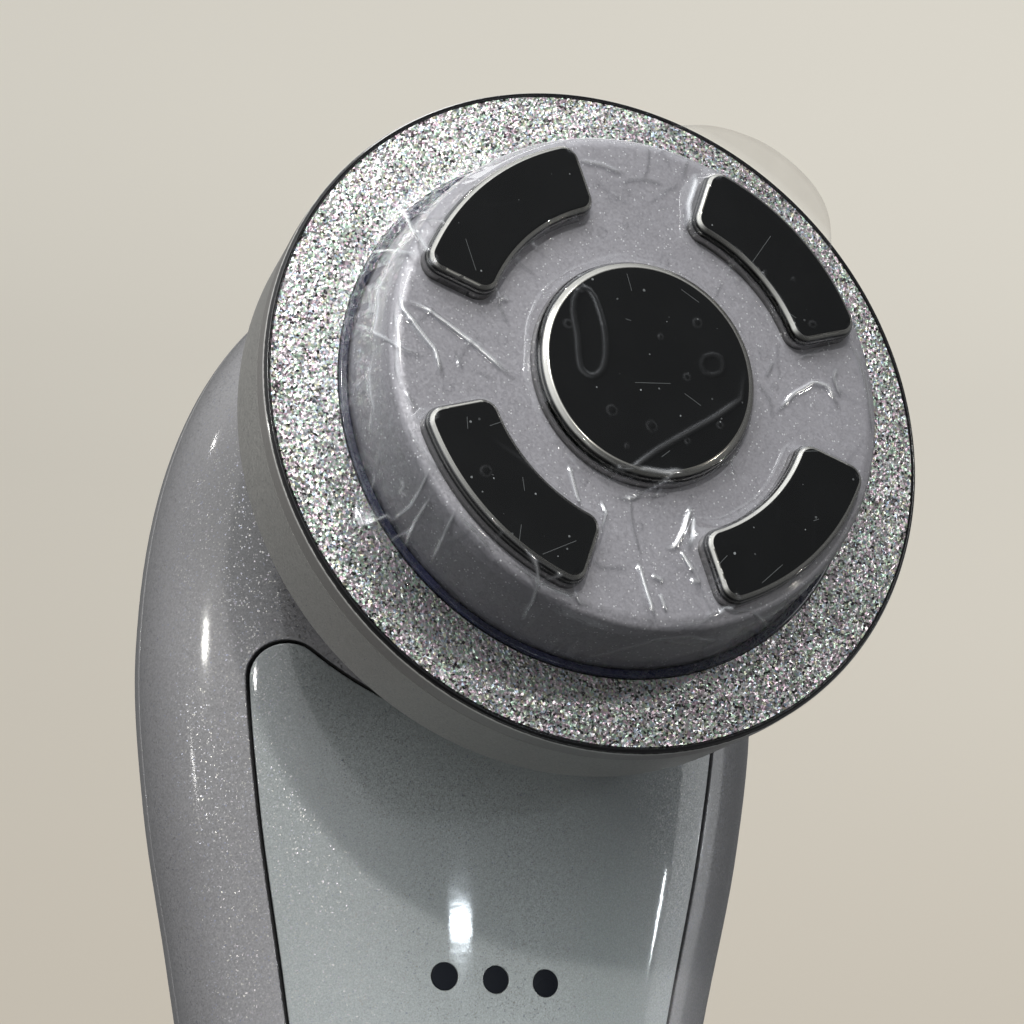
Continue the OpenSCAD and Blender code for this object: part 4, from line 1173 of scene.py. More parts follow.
def film_base():
    th = np.arange(NT) * 2 * math.pi / NT
    deg = np.degrees(th)
    ea = np.array([e[0] for e in EDGE], float)
    er = np.array([e[1] for e in EDGE], float)
    dd = np.where(deg < 42, deg + 360, deg)
    rf = np.interp(dd, ea, er)
    k = np.exp(-(np.arange(-24, 25) / 7.0) ** 2)
    k /= k.sum()
    rf = np.convolve(np.r_[rf[-24:], rf, rf[:24]], k, "valid") + waves(th, 5, range(30, 60, 3), 0.03)
    span = 0.5 + 0.5 * np.tanh(waves(th, 11, range(6, 40, 2), 1.0))
    gap = 0.40 + 0.45 * span
    probe = np.stack([17.1 * np.cos(th), 17.1 * np.sin(th)], 1)
    dA = electrode_distance(probe[:, 0:1], probe[:, 1:2], 0.12)[:, 0]

    def tent(d, D):
        q = np.clip(1 - d / D, 0, 1)
        return q ** 1.12

    e = tent(dA, gap)
    hA = 6.70 + 1.42 * e
    rA = 17.30 * e + 17.80 * (1 - e)
    f = np.arange(N1 + 1) / N1
    r_top = rA[None, :] * f[:, None]
    X, Y = r_top * np.cos(th), r_top * np.sin(th)
    d = electrode_distance(X, Y, 0.14)
    D = 0.52 + 0.16 * np.sin(0.9 * X + 0.4 * Y) + 0.10 * np.sin(2.3 * X - 1.7 * Y)
    for cx, cy, wide, more in ((-13.5, 4.6, 2.4, 1.5), (-3.6, -11.2, 1.6, 1.2), (3.6, -11.6, 1.8, 1.3), (15.2, 3.2, 1.6, 0.8),
                               (4.2, 14.4, 1.6, 0.8), (-6.3, -8.4, 1.5, 0.9), (6.6, -5.6, 1.4, 0.7)):
        D = D + more * np.exp(-((X - cx) ** 2 + (Y - cy) ** 2) / wide**2)
    h_top = 6.70 + 1.42 * tent(d, D)
    end = np.clip((r_top - (rA - 1.0)[None, :]) / 1.0, 0, 1)
    h_top = h_top * (1 - end) + hA[None, :] * end
    # wall: nearly straight from the shoulder to the glitter ring
    rl = 20.55 + waves(th, 21, [5, 7, 9, 12, 15, 19, 23], 0.16)
    q = (np.arange(1, N2 + 1) / N2)[:, None]
    rw = rA + (rl - rA) * q
    hw = hA + (0.16 - hA) * q
    nx, nh = hA - 0.16, rl - rA
    nl = np.hypot(nx, nh)
    bulge = 0.16 * np.sin(math.pi * q) ** 0.8
    fold = waves(th, 31, range(17, 75, 3), 0.055) + waves(th, 33, range(60, 150, 7), 0.02)
    bulge = bulge + fold * np.sin(math.pi * q * 0.55) ** 1.5 * (1 - 0.25 * q)
    rw = rw + nx / nl * bulge
    hw = np.maximum(hw + nh / nl * bulge, 0.14)
    # flap lying on the glitter ring, its edge lifted a little
    q = (np.arange(1, N3 + 1) / N3)[:, None]
    rend = rw[-1]
    rfl = rend + (np.maximum(rf, rend + 0.35) - rend) * q
    lift = 0.05 + 0.05 * np.abs(waves(th, 41, range(4, 30, 3), 1.0))
    hf = 0.15 + lift * q**2 + 0.03 * (1 + np.sin(9 * th + 3 * rfl)) * q * (1 - q)
    hf = np.where(rfl > 23.4, np.maximum(hf, 0.15 + 0.22 * np.clip((rfl - 23.4) / 1.0, 0, 1)), hf)
    R = np.vstack([r_top, rw, rfl])
    H = np.vstack([h_top, hw, hf])
    # a film bends, it doesn't fold sharp: smooth along each ray
    for width, rows in ((2.2, None),):
        kk = np.exp(-(np.arange(-6, 7) / width) ** 2)
        kk /= kk.sum()
        pad = lambda a: np.vstack([a[6:0:-1] * (-1 if a is R else 1), a, 2 * a[-1] - a[-2:-8:-1]])
        R2 = np.stack([np.convolve(pad(R)[:, j], kk, "valid") for j in range(NT)], 1)
        H2 = np.stack([np.convolve(pad(H)[:, j], kk, "valid") for j in range(NT)], 1)
    R2[0] = 0
    H2[0] = H2[0].mean()
    return th, R2, H2


def film_frame(th, R, H):
    """Unrolled distance from the centre and the outward normal in each ray's plane."""
    dR, dH = np.diff(R, axis=0), np.diff(H, axis=0)
    rho = np.vstack([np.zeros(NT), np.cumsum(np.hypot(dR, dH), axis=0)])
    gr, gh = np.gradient(R, axis=0), np.gradient(H, axis=0)
    ln = np.maximum(np.hypot(gr, gh), 1e-9)
    return rho, -gh / ln, gr / ln


film_th, film_R, film_H = film_base()
film_rho, film_nr, film_nh = film_frame(film_th, film_R, film_H)

# Creases, traced on the unrolled film in mm: (sharp height, spread height, whiteness with painted highlight, line)
CREASES = [
    (0.10, 0.10, 0.75, [(-20.8, 17.8), (-19.9, 14.2), (-19.0, 10.5), (-17.1, 5.7)]),
    (0.08, 0.08, 0.60, [(-23.2, 11.3), (-20.3, 8.4), (-17.9, 6.4)]),
    (0.09, 0.14, 0.50, [(-19.0, 9.2), (-20.1, 8.0), (-20.4, 6.3), (-20.3, 2.8), (-20.7, -0.3)]),
    (0.12, 0.10, 0.90, [(-18.4, 3.7), (-18.2, 2.3), (-17.0, 0.8), (-16.0, -0.4), (-15.3, -2.4)]),
    (0.11, 0.08, 0.85, [(-18.2, 2.9), (-16.7, 2.7), (-15.0, 1.7), (-12.8, 0.2), (-10.2, -1.8)]),
    (0.08, 0.06, 0.55, [(-22.3, 2.6), (-20.3, 0.9), (-18.2, -0.8), (-16.5, -1.1)]),
    (0.06, 0.05, 0.35, [(-18.8, 2.5), (-18.5, 0.1), (-18.6, -2.2), (-18.3, -3.5)]),
    (0.06, 0.04, 0.45, [(-18.0, -3.8), (-17.1, -5.3)]),
    (0.07, 0.05, 0.60, [(-4.9, 16.4), (-2.7, 16.3), (-1.0, 15.9)]),
    (0.05, 0.06, 0.45, [(-9.7, 9.2), (-8.7, 9.0), (-8.0, 8.9)]),
    (0.05, 0.06, 0.55, [(-12.6, 4.7), (-11.7, 4.5), (-10.3, 4.3)]),
    (0.07, 0.03, 0.14, [(-5.35, 4.75), (-4.95, 5.15), (-4.5, 5.15), (-4.05, 4.6), (-3.7, 3.6), (-3.4, 2.4), (-3.3, 1.3),
                        (-3.35, 0.3), (-3.55, -0.5), (-3.9, -1.05), (-4.4, -1.3), (-4.9, -1.15), (-5.25, -0.7),
                        (-5.35, 0.2), (-5.4, 1.6), (-5.6, 2.6), (-5.68, 3.4), (-5.6, 4.2), (-5.35, 4.75)]),
    (0.05, 0.02, 0.10, [(3.8, 0.8), (4.0, 1.4), (4.7, 1.7), (5.3, 1.6), (5.5, 1.0), (5.3, 0.4), (4.6, 0.1), (4.0, 0.2),
                        (3.8, 0.8)]),
    (0.07, 0.07, 0.26, [(-6.2, -7.6), (-4.8, -7.5), (-3.0, -7.9), (-1.6, -7.6), (0.3, -6.0), (2.9, -4.2), (4.7, -3.0),
                        (6.7, -1.4), (7.1, 0.7)]),
    (0.08, 0.06, 0.65, [(-6.2, -7.6), (-5.8, -8.7), (-5.1, -11.4)]),
    (0.12, 0.10, 0.95, [(-3.6, -10.2), (-3.2, -11.2), (-4.4, -13.4)]),
    (0.08, 0.05, 0.70, [(-1.5, -7.5), (0.9, -7.6), (2.4, -7.2)]),
    (0.08, 0.05, 0.75, [(-2.3, -10.0), (-1.0, -9.8), (0.1, -8.8), (1.6, -7.3)]),
    (0.06, 0.05, 0.60, [(0.4, -9.6), (1.1, -9.0)]),
    (0.11, 0.10, 0.90, [(3.6, -9.7), (2.9, -11.7), (2.2, -13.0), (1.4, -13.2)]),
    (0.12, 0.12, 1.00, [(3.8, -10.5), (3.4, -11.9), (3.2, -13.0)]),
    (0.10, 0.08, 0.80, [(-0.8, -14.2), (-0.4, -15.7), (0.4, -18.2)]),
    (0.08, 0.04, 0.75, [(0.2, -15.2), (1.2, -15.6)]),
    (0.09, 0.06, 0.80, [(2.5, -13.2), (3.6, -14.8)]),
    (0.07, 0.04, 0.60, [(3.2, -15.2), (4.2, -15.6)]),
    (0.08, 0.04, 0.75, [(0.8, -16.4), (1.3, -17.7)]),
    (0.08, 0.10, 0.60, [(-17.3, -10.0), (-19.1, -12.9), (-21.1, -14.3)]),
    (0.10, 0.12, 0.75, [(-17.5, -12.3), (-18.8, -14.2), (-19.7, -16.2)]),
    (0.06, 0.04, 0.65, [(-20.2, -10.8), (-19.7, -11.4), (-20.2, -11.8), (-19.3, -12.3)]),
    (0.08, 0.08, 0.60, [(-15.3, -12.9), (-16.1, -14.6), (-17.3, -17.5)]),
    (0.08, 0.05, 0.70, [(-15.4, -13.2), (-13.7, -14.5), (-12.4, -16.0)]),
    (0.08, 0.05, 0.75, [(-11.0, -16.5), (-8.8, -17.8), (-7.4, -18.2), (-4.4, -17.9)]),
    (0.09, 0.08, 0.70, [(-10.0, -15.5), (-9.2, -16.5), (-8.9, -17.8), (-9.1, -19.6), (-9.8, -21.4)]),
    (0.05, 0.04, 0.50, [(-8.5, -17.5), (-7.2, -16.9)]),
    (0.02, 0.01, 0.10, [(-12.8, -7.6), (-10.2, -9.3), (-7.4, -11.1), (-5.3, -12.9)]),
    (0.07, 0.14, 0.30, [(-3.3, -22.9), (-1.1, -21.0), (1.2, -19.7), (3.8, -19.2), (7.0, -20.5)]),
    (0.10, 0.10, 0.75, [(10.8, -1.5), (12.2, 0.3), (13.9, 1.5), (15.0, 1.3), (15.8, -0.4)]),
    (0.07, 0.05, 0.65, [(15.8, 3.0), (15.5, 2.0), (15.9, 0.6)]),
    (0.05, 0.04, 0.45, [(10.2, 1.4), (10.8, 2.8)]),
    (0.07, 0.06, 0.50, [(17.1, 5.8), (18.1, 1.9), (18.4, -2.4)]),
    (0.05, 0.06, 0.45, [(26.1, -6.4), (28.0, -12.1)]),
    (0.08, 0.10, 0.45, [(1.0, -18.9), (4.7, -17.9), (8.1, -17.9), (12.4, -19.7)]),
    (0.10, 0.20, 0.60, [(-24.4, -12.7), (-23.7, -14.6), (-21.4, -13.7), (-20.6, -14.2)]),
    (0.07, 0.10, 0.40, [(-20.7, -0.3), (-21.2, -2.3), (-20.7, -4.7), (-21.5, -7.4)]),
    (0.07, 0.08, 0.35, [(-19.2, -7.0), (-17.9, -8.9), (-16.3, -10.7)]),
    (0.09, 0.06, 0.70, [(4.9, 17.3), (3.9, 14.4), (3.8, 12.2)]),
    (0.05, 0.05, 0.35, [(12.8, 3.3), (14.6, 4.1)]),
]


def film_sheet():
    q = np.random.default_rng(77)
    lines = list(CREASES)
    # more faint creases at random, each with whiteness: part stress whitening, part painted highlight
    for _k in range(95):
        rho = math.sqrt(q.uniform(8.6**2, 24.5**2))
        a = q.uniform(0, 2 * math.pi)
        p = np.array([rho * math.cos(a), rho * math.sin(a)])
        d = a + q.normal(0, 0.7) + (math.pi / 2 if q.uniform() < 0.4 else 0)
        bend = q.normal(0, 0.16)
        pts = [p.tolist()]
        for _s in range(int(q.integers(2, 6))):
            p = p + 0.9 * np.array([math.cos(d), math.sin(d)])
            d += bend
            pts.append(p.tolist())
        k = q.uniform(0, 1) ** 2
        lines.append((0.02 + 0.03 * k, 0.01, 0.08 + 0.26 * k, pts))
    U = np.stack([film_rho * np.cos(film_th), film_rho * np.sin(film_th)], -1)
    flat = U.reshape(-1, 2)
    disp, whitening_and_glint = np.zeros(len(flat)), np.zeros(len(flat))
    calm = (film_H > 8.0).ravel()
    traced = len(CREASES)
    for number, (hgt, wide, whiten_glint, pts) in enumerate(lines):
        pts = resample(np.array(pts, float), 0.35, closed=False)
        lo, hi = pts.min(0) - 2.2, pts.max(0) + 2.2
        sel = np.where(((flat > lo) & (flat < hi)).all(1))[0]
        w = flat[sel]
        best, along = np.full(len(w), 1e9), np.zeros(len(w))
        total = len(pts) - 1
        for i in range(total):
            a, b = pts[i], pts[i + 1]
            ab = b - a
            t = np.clip(((w - a) @ ab) / max(ab @ ab, 1e-9), 0, 1)
            dd = np.linalg.norm(w - a - t[:, None] * ab, axis=1)
            better = dd < best
            best = np.where(better, dd, best)
            along = np.where(better, (i + t) / total, along)
        closed = np.linalg.norm(pts[0] - pts[-1]) < 0.5
        fade = 1.0 if closed else np.clip(np.minimum(along, 1 - along) * 4.5 + 0.12, 0, 1)
        if number >= traced:
            fade = fade * np.where(calm[sel], 0.05, 1.0)
        disp[sel] += fade * (hgt * np.exp(-(best / 0.19) ** 2) + wide * np.exp(-(best / 0.75) ** 1.4))
        # the crease's whiteness: part stress whitening, part painted highlight
        whitening_and_glint[sel] = np.maximum(whitening_and_glint[sel], fade * whiten_glint * np.exp(-(best / 0.125) ** 2))
    # where the film's tent comes down on the glitter: pale patches, part haze and part painted reflection
    for (cx, cy), rad, amt in (((-23.4, -13.9), 1.0, 0.50), ((-22.6, -14.6), 0.8, 0.45), ((-21.9, -15.6), 0.7, 0.30)):
        d = np.hypot(flat[:, 0] - cx, flat[:, 1] - cy)
        whitening_and_glint = np.maximum(whitening_and_glint, amt * np.clip(1.3 - d / rad, 0, 1))
    # small trapped bubbles, each ringed by a painted highlight
    for _k in range(46):
        rho, a = 17 * math.sqrt(q.uniform(0, 1)), q.uniform(0, 2 * math.pi)
        c = np.array([rho * math.cos(a), rho * math.sin(a)])
        r = q.uniform(0.12, 0.42)
        d = np.linalg.norm(flat - c, axis=1)
        disp += np.where(d < r * 1.3, 0.05 * np.clip(1 - (d / r / 1.3) ** 2, 0, 1) ** 2, 0)
        whitening_and_glint = np.maximum(whitening_and_glint, 0.16 * np.exp(-((d - r) / 0.07) ** 2))
    disp = disp.reshape(film_R.shape)
    whitening_and_glint = whitening_and_glint.reshape(film_R.shape)
    # a pale line along the film's cut edge, fainter out on the tab: part edge whitening, part painted highlight
    far = np.clip((film_R - 24.7) / 0.5, 0, 1)
    edge_tone = 1 - 0.55 * far[-1]
    whitening_and_glint[-1] = np.maximum(whitening_and_glint[-1], 0.30 * edge_tone)
    whitening_and_glint[-2] = np.maximum(whitening_and_glint[-2], 0.16 * edge_tone)
    # never below what it lies on, never above the film's own thickness of folds
    disp = np.where(film_H > 7.9, np.minimum(disp, 0.17), np.minimum(disp, 0.34))
    R = film_R + film_nr * disp
    H = film_H + film_nh * disp
    R[0] = 0
    H[0] = H[0].mean()
    rows, V, W = [], [], []
    step_of = lambda r: 8 if r < 2.2 else 4 if r < 4.5 else 2 if r < 9.0 else 1
    wgrid = whitening_and_glint.reshape(film_R.shape)
    for i in range(R.shape[0]):
        if i == 0:
            rows.append((0, [0]))
            V.append([0, 0, H[0, 0]])
            W.append(wgrid[0, 0])
            continue
        st = step_of(R[i].mean())
        js = np.arange(0, NT, st)
        base = len(V)
        V += np.stack([R[i, js] * np.cos(film_th[js]), R[i, js] * np.sin(film_th[js]), H[i, js]], 1).tolist()
        W += wgrid[i, js].tolist()
        rows.append((st, list(range(base, base + len(js)))))
    F = []
    for (s0, a), (s1, b) in zip(rows[:-1], rows[1:]):
        n0, n1 = len(a), len(b)
        if n0 == 1:
            F += [(a[0], b[j], b[(j + 1) % n1]) for j in range(n1)]
        elif n0 == n1:
            F += [(a[j], b[j], b[(j + 1) % n1], a[(j + 1) % n0]) for j in range(n0)]
        else:
            for j in range(n0):
                k = (j + 1) % n0
                f0, f1, f2 = b[2 * j], b[2 * j + 1], b[(2 * j + 2) % n1]
                F += [(a[j], f0, f1), (a[j], f1, a[k]), (a[k], f1, f2)]
    me = bpy.data.meshes.new("clear_film")
    me.from_pydata((head(np.array(V)) * MM).tolist(), [], F)
    me.update()
    me.shade_smooth()
    at = me.attributes.new("crease", "FLOAT", "POINT")
    at.data.foreach_set("value", np.array(W, np.float32))
    ob = bpy.data.objects.new("clear_film", me)
    bpy.context.scene.collection.objects.link(ob)
    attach(ob, "handle")
    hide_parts("protective_film")
    return ob


film = film_sheet()


def film_material():
    m = Mat("clear_film")
    co = m.coord()
    cr = m.add("ShaderNodeAttribute", attribute_name="crease").outputs["Fac"]
    # the free tab is handled film: greyer and hazier than the stretched face
    off = m.add("ShaderNodeVectorMath", {0: co, 1: tuple(HEAD0 * MM)}, operation="SUBTRACT").outputs[0]
    up = m.add("ShaderNodeVectorMath", {0: off, 1: tuple(HN)}, operation="DOT_PRODUCT").outputs["Value"]
    out = m.add("ShaderNodeVectorMath", {0: off}, operation="LENGTH").outputs["Value"]
    out = m.math("SQRT", m.math("SUBTRACT", m.math("MULTIPLY", out, out), m.math("MULTIPLY", up, up)))
    tab = m.rng(m.math("MULTIPLY", out, 1000.0), 24.6, 25.4, 0.0, 1.0, True)
    fine = m.noise(co, 260, 2, 0.4)
    ripple = m.bump(fine, 0.10, 0.00005)
    fres = m.add("ShaderNodeFresnel", {"IOR": 1.45, "Normal": ripple}).outputs[0]
    scuff = m.rng(m.noise(co, 240, 3), 0.4, 0.75, 0.012, 0.035)
    a = m.math("ADD", m.math("MINIMUM", m.math("MULTIPLY", fres, 1.15), 0.15), scuff)
    # the creases lay in opaque pale metal: partly stress whitening, partly painted highlight streaks
    a = m.math("ADD", a, m.math("MULTIPLY", cr, 1.15))
    a = m.math("ADD", a, m.math("MULTIPLY", tab, m.rng(fine, 0.3, 0.7, 0.15, 0.23)))
    a = m.math("MINIMUM", a, 0.92)
    ro = m.rng(cr, 0.0, 0.8, 0.055, 0.34)
    metal = m.math("MULTIPLY", m.rng(cr, 0.05, 0.7, 1.0, 0.55), m.math("SUBTRACT", 1.0, m.math("MULTIPLY", tab, 0.8)))
    tint = m.mix(tab, (0.93, 0.95, 0.98, 1), (0.50, 0.465, 0.42, 1))
    return m.end(m.shader(Base_Color=tint, Metallic=metal, Roughness=ro, Alpha=a, Normal=ripple))


film_m = film_material()
film.data.materials.append(film_m)
AREA_MM2 = sum(p.area for p in film.data.polygons) * 1e6


# =============================================================================
# Finishes of the parts that stay as the CAD made them
# =============================================================================
finishes = {
    "pearl_body": pearl_body,
    "pearl_panel": pearl_panel,
    "black_line": moulded("black_line", (0.0045, 0.0045, 0.005), 0.55, 0, 3500, 0.4, 0.00003, 0.2, spec=0.3),
    "foot_rubber": rubber,
    "screw_steel": moulded("screw_steel", rgb(176, 176, 172), 0.3, 1.0, 2200, 0.3, 0.00002, 0.1),
    "button_silver": silver,
    "ring_gunmetal": gunmetal,
    "dome_silicone": moulded("dome_silicone", rgb(196, 196, 190), 0.55, 0, 2600, 0.3, 0.00003, 0.06),
    "switch_black": moulded("switch_black", rgb(26, 26, 27), 0.42, 0, 3000, 0.35, 0.00003, 0.2),
    "window_black": black_lens,
    "led_body": moulded("led_body", rgb(228, 222, 190), 0.3, 0, 3000, 0.15, 0.00002, 0.1, coat=0.5),
    "circuit_board": moulded("circuit_board", rgb(22, 74, 50), 0.34, 0, 5200, 0.5, 0.00003, 0.3, coat=0.4),
    "chip_black": moulded("chip_black", rgb(30, 30, 31), 0.5, 0, 3600, 0.5, 0.00003, 0.2),
    "frame_grey": moulded("frame_grey", rgb(92, 94, 97), 0.55, 0, 2400, 0.3, 0.00004, 0.08),
    "cell_sleeve": moulded("cell_sleeve", rgb(58, 96, 140), 0.35, 0, 1500, 0.25, 0.00004, 0.1, coat=0.5),
    "foam_pad": moulded("foam_pad", rgb(52, 52, 54), 0.9, 0, 1800, 0.9, 0.0003, 0.25, spec=0.15),
    "nickel_strip": moulded("nickel_strip", rgb(190, 188, 180), 0.28, 1.0, 2600, 0.25, 0.00002, 0.1),
    "lead_insulation": moulded("lead_insulation", rgb(150, 38, 34), 0.42, 0, 2200, 0.2, 0.00003, 0.12),
    "port_shell": moulded("port_shell", rgb(188, 189, 190), 0.22, 1.0, 2200, 0.2, 0.00002, 0.08),
    "brass_post": moulded("brass_post", rgb(188, 150, 82), 0.3, 1.0, 2400, 0.2, 0.00002, 0.1),
    "ferrite": moulded("ferrite", rgb(46, 44, 44), 0.6, 0.2, 2600, 0.6, 0.00005, 0.2),
    "tin_can": moulded("tin_can", rgb(178, 180, 180), 0.36, 1.0, 1500, 0.3, 0.00004, 0.1),
    "neck_grey": neck_m,
    "gasket_black": gasket_m,
    "collar_grey": collar_m,
    "light_ring_navy": light_m,
    "glitter_silver": glitter_m,
    "rim_black": rim_m,
    "puck_lilac": puck_m,
    "black_chrome": chrome_m,
    "clear_film": film_m,
}
slots = {s["node"]: s["material_slot"] for s in frame["record"]["subparts"]}
for node_name, ob in nodes.items():
    mat = finishes.get(slots.get(node_name))
    if mat is None:
        continue
    if ob.data.materials:
        for i in range(len(ob.data.materials)):
            ob.data.materials[i] = mat
    else:
        ob.data.materials.append(mat)

# =============================================================================
# Studio: a round pale backdrop with its floor, and soft lights
# =============================================================================
# the silicone domes under the buttons
for tag, r, v in (("power", 5.5, 0.0), ("level", 4.2, -18.0)):
    place = (lambda p, v=v: ctl(p, v))
    dome = lathe(tag + "_dome_pad",
                 [(r + 1.1, -8.58), (r + 1.1, -8.1), (r + 0.3, -8.1), (r - 0.4, -5.15), (r - 1.1, -5.15),
                  (r - 0.4, -8.58)], [0.05, 0.12, 0.2, 0.12, 0.12, 0.05], place, 96,
                 mat=finishes["dome_silicone"], slot="dome_silicone")
    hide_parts(tag + "_button_dome")
    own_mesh(dome)


def studio():
    prof_ = [(0, 0)] + [(r, 0) for r in (0.05, 0.12, 0.25, 0.5, 0.8, 1.1)]
    prof_ += [(1.1 + 0.5 * math.sin(a), 0.5 * (1 - math.cos(a))) for a in np.linspace(0, math.pi / 2, 14)[1:]]
    prof_ += [(1.6, 1.1), (1.6, 1.9)]
    n = 96
    V, F = [], []
    for r, h in prof_:
        if r == 0:
            V.append((0, 0, h - 0.0004))
            continue
        V += [(r * math.cos(2 * math.pi * j / n), r * math.sin(2 * math.pi * j / n), h - 0.0004) for j in range(n)]
    for j in range(n):
        F.append((0, 1 + j, 1 + (j + 1) % n))
    for i in range(len(prof_) - 2):
        for j in range(n):
            k = (j + 1) % n
            a = 1 + i * n
            F.append((a + j, a + n + j, a + n + k, a + k))
    me = bpy.data.meshes.new("studio_floor")
    me.from_pydata(V, [], F)
    me.update()
    me.shade_smooth()
    ob = bpy.data.objects.new("studio_floor", me)
    bpy.context.scene.collection.objects.link(ob)
    m = Mat("studio_paper")
    co = m.coord()
    col = m.ramp(m.noise(co, 1.4, 2), [(0.3, (0.655, 0.622, 0.550)), (0.7, (0.685, 0.652, 0.578))])
    z = m.add("ShaderNodeSeparateXYZ", {0: co}).outputs[2]
    # painted shade: the backdrop's colour darkens towards the floor, below 0.7 m
    low = m.ramp(m.rng(z, 0.0, 0.70, 0.0, 1.0, True), [(0.0, (0.60, 0.575, 0.55)), (1.0, (1.0, 1.0, 1.0))])
    col = m.mix(1.0, col, low, "MULTIPLY")
    me.materials.append(m.end(m.shader(Base_Color=col, Roughness=0.9, Specular_IOR_Level=0.1,
                                       Emission_Color=col, Emission_Strength=0.42,
                                       Normal=m.bump(m.noise(co, 900, 3), 0.1, 0.0001))))
    ob.visible_diffuse = False
    ob.visible_glossy = False
    return ob


floor = studio()
CENTRE = Vector((0, -0.012, 0.145))


def softbox(name, az, el, dist, w, h, watts, colour=(1, 1, 1), shape="RECTANGLE", aim=None, spread=180):
    """A light panel seen from the head at azimuth az (0 = in front, + = to the right) and elevation el."""
    a, e = math.radians(az), math.radians(el)
    d = Vector((math.sin(a) * math.cos(e), -math.cos(a) * math.cos(e), math.sin(e)))
    li = bpy.data.lights.new(name, "AREA")
    li.shape = shape
    li.size = w
    if shape in ("RECTANGLE", "ELLIPSE"):
        li.size_y = h
    li.energy = watts
    li.color = colour
    li.spread = math.radians(spread)
    ob = bpy.data.objects.new(name, li)
    bpy.context.scene.collection.objects.link(ob)
    at = aim or CENTRE
    ob.location = at + d * dist
    ob.rotation_euler = (-d).to_track_quat("-Z", "Y").to_euler()
    ob.visible_camera = False
    return ob


key = softbox("key", -17, 34, 1.2, 0.05, 0.05, 5.4, (1.0, 0.985, 0.95), "DISK")


def window(name, at, az, el, dist, w, h, watts, colour=(1, 1, 1)):
    """A small window light, placed for the point of the skin (mm) that mirrors it."""
    lamp = softbox(name, az, el, dist, w, h, watts, colour, "ELLIPSE", aim=Vector(at) * MM)
    windows.append(lamp)
    return lamp


windows = []
window("window_front", (-2.9, -0.7, 116.7), 15.4, 12.0, 1.2, 0.085, 0.011, 0.34, (0.84, 0.93, 1.0))
window("window_left", (-21.8, 6.6, 136.1), -64.2, 15.3, 1.0, 0.060, 0.035, 1.0, (1.0, 0.99, 0.93))
window("window_high_left", (-21.4, 10.2, 151.7), -96.0, 38.0, 1.0, 0.02, 0.03, 0.25, (1.0, 0.98, 0.95))
window("window_low_left", (-22.0, 6.4, 127.2), -76.4, 3.0, 1.0, 0.014, 0.05, 0.12, (1.0, 0.98, 0.95))
window("window_panel_edge", (-18.4, 4.3, 133.6), -35.8, 15.4, 1.1, 0.02, 0.03, 0.08, (1.0, 0.98, 0.95))
window("window_right", (17.7, 3.3, 124.7), 78.1, 6.6, 1.0, 0.02, 0.03, 0.22, (0.9, 0.96, 1.0))
window("window_right_front", (13.8, 1.4, 119.4), 61.7, 6.6, 1.0, 0.012, 0.05, 0.12, (0.9, 0.96, 1.0))


def only_for(light, name, pieces_):
    """Keeps a lamp's light to some pieces."""
    coll = bpy.data.collections.new(name)
    for p in pieces_:
        coll.objects.link(p)
    light.light_linking.receiver_collection = coll


def not_for(light, name, pieces_):
    """Keeps a lamp's light off some pieces."""
    only_for(light, name, pieces_)
    for k in range(len(pieces_)):
        light.light_linking.receiver_collection.collection_objects[k].light_linking.link_state = "EXCLUDE"


faces = [centre, film, puck] + arcs
face_side = faces + [glitter]
not_for(key, "key_not", [glitter])
for lamp in windows:
    not_for(lamp, lamp.name + "_not", face_side)
only_for(softbox("ring_key", 29, 36, 1.3, 0.11, 0.11, 0.95, (1.0, 1.0, 0.99), "DISK"), "ring_only", [glitter])
only_for(softbox("ring_left", -6, 60, 0.24, 0.10, 0.10, 0.225, (1.0, 1.0, 0.98), "DISK"), "ring_only2", [glitter])
only_for(softbox("puck_left", -46, 60, 0.10, 0.05, 0.05, 0.043, (1.0, 1.0, 1.0), "DISK",
                 aim=Vector((-0.013, -0.023, 0.160))), "puck_only", [puck])
not_for(softbox("low_fill", 30, -20, 0.15, 0.02, 0.02, 0.0065, (0.97, 1.0, 1.0), "DISK",
                aim=Vector((0.007, -0.008, 0.086)), spread=24), "low_fill_not", face_side)
for lamp in ("low_fill", "puck_left"):
    bpy.data.objects[lamp].visible_glossy = False
only_for(softbox("edge_low_left", 0, 11, 1.2, 0.03, 0.03, 0.45, (1.0, 0.95, 0.86), "DISK"), "faces_a", faces)
only_for(softbox("edge_high", -5, 60, 1.2, 0.04, 0.04, 0.5, (1.0, 0.96, 0.9), "DISK"), "faces_b", faces)
only_for(softbox("edge_low_right", 48, 5, 1.2, 0.03, 0.03, 0.4, (1.0, 0.95, 0.86), "DISK"), "faces_c", faces)
softbox("soft_key", -28, 46, 1.4, 0.5, 0.5, 3.2, (1, 0.99, 0.97))
not_for(softbox("right_fill", 78, 4, 1.1, 0.5, 0.5, 1.1, (0.97, 0.99, 1.0)), "right_fill_not", face_side)
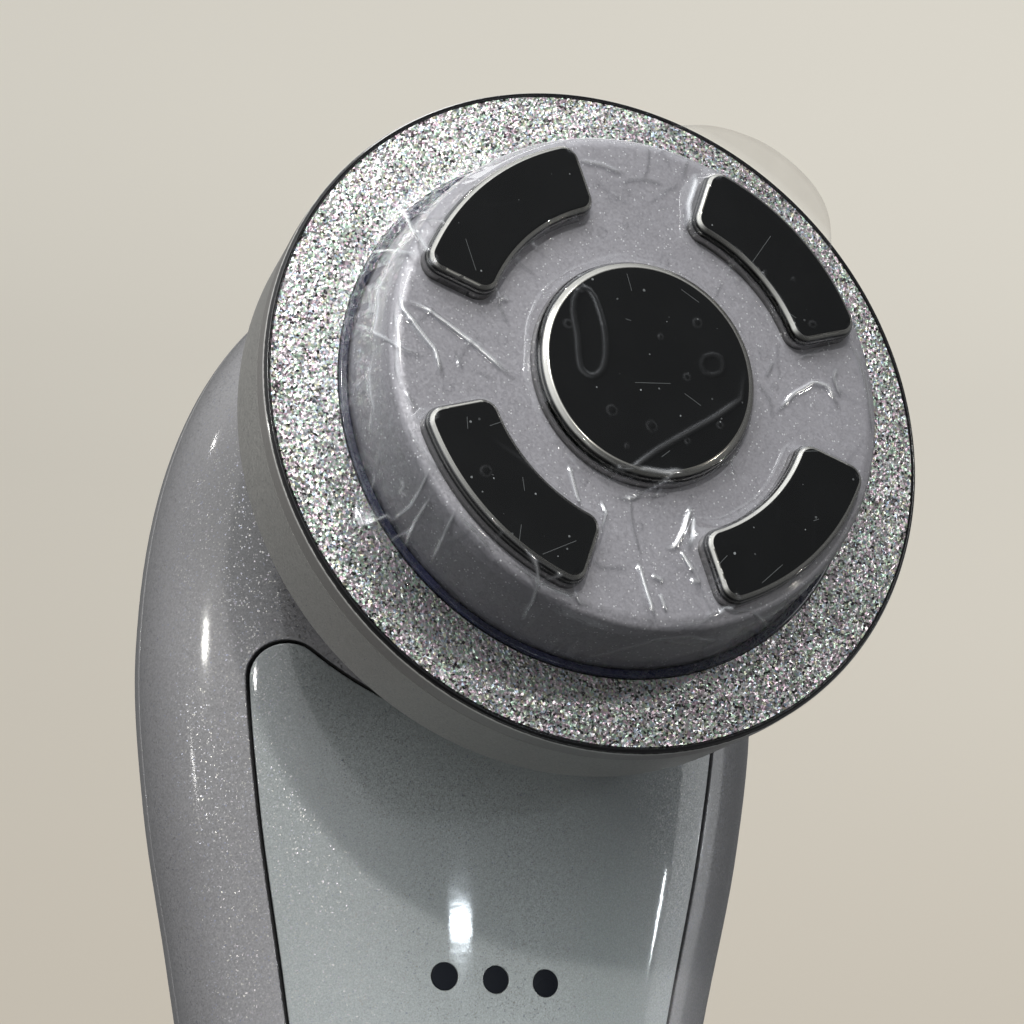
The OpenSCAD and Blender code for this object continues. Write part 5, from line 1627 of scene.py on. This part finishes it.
softbox("back_fill", 165, 40, 1.4, 0.7, 0.7, 4.2, (1, 0.99, 0.97))


def studio_air():
    """Soft surround: bright from the upper left in front, dim from below and from the right."""
    world = bpy.data.worlds.new("studio_air")
    bpy.context.scene.world = world
    world.use_nodes = True
    tr = world.node_tree
    tr.nodes.clear()
    co = tr.nodes.new("ShaderNodeTexCoord").outputs["Generated"]

    def lobe(az, el, lo, hi, a, b):
        az, el = math.radians(az), math.radians(el)
        dot = tr.nodes.new("ShaderNodeVectorMath")
        dot.operation = "DOT_PRODUCT"
        tr.links.new(co, dot.inputs[0])
        dot.inputs[1].default_value = (math.sin(az) * math.cos(el), -math.cos(az) * math.cos(el), math.sin(el))
        mr = tr.nodes.new("ShaderNodeMapRange")
        mr.interpolation_type = "SMOOTHSTEP"
        tr.links.new(dot.outputs["Value"], mr.inputs["Value"])
        for k, v in (("From Min", lo), ("From Max", hi), ("To Min", a), ("To Max", b)):
            mr.inputs[k].default_value = v
        return mr.outputs["Result"]

    def mth(op, p, q):
        n = tr.nodes.new("ShaderNodeMath")
        n.operation = op
        for i, v in enumerate((p, q)):
            if isinstance(v, float):
                n.inputs[i].default_value = v
            else:
                tr.links.new(v, n.inputs[i])
        return n.outputs[0]

    v = mth("ADD", lobe(-42, 50, 0.10, 1.0, 0.0, AIR_KEY), lobe(-95, 20, 0.0, 1.0, AIR_BASE, AIR_LEFT))
    v = mth("MULTIPLY", v, lobe(28, 32, 0.80, 0.98, 1.0, 0.12))
    v = mth("MULTIPLY", v, lobe(-10, -60, 0.0, 1.0, 1.0, 0.35))
    bg = tr.nodes.new("ShaderNodeBackground")
    bg.inputs["Color"].default_value = (0.97, 0.985, 1.0, 1)
    tr.links.new(v, bg.inputs["Strength"])
    out = tr.nodes.new("ShaderNodeOutputWorld")
    tr.links.new(bg.outputs[0], out.inputs["Surface"])


AIR_KEY, AIR_BASE, AIR_LEFT = 1.05, 0.15, 0.30
studio_air()
scene = bpy.context.scene
scene.view_settings.view_transform = "Standard"
scene.view_settings.look = "None"
scene.view_settings.exposure = 0.0
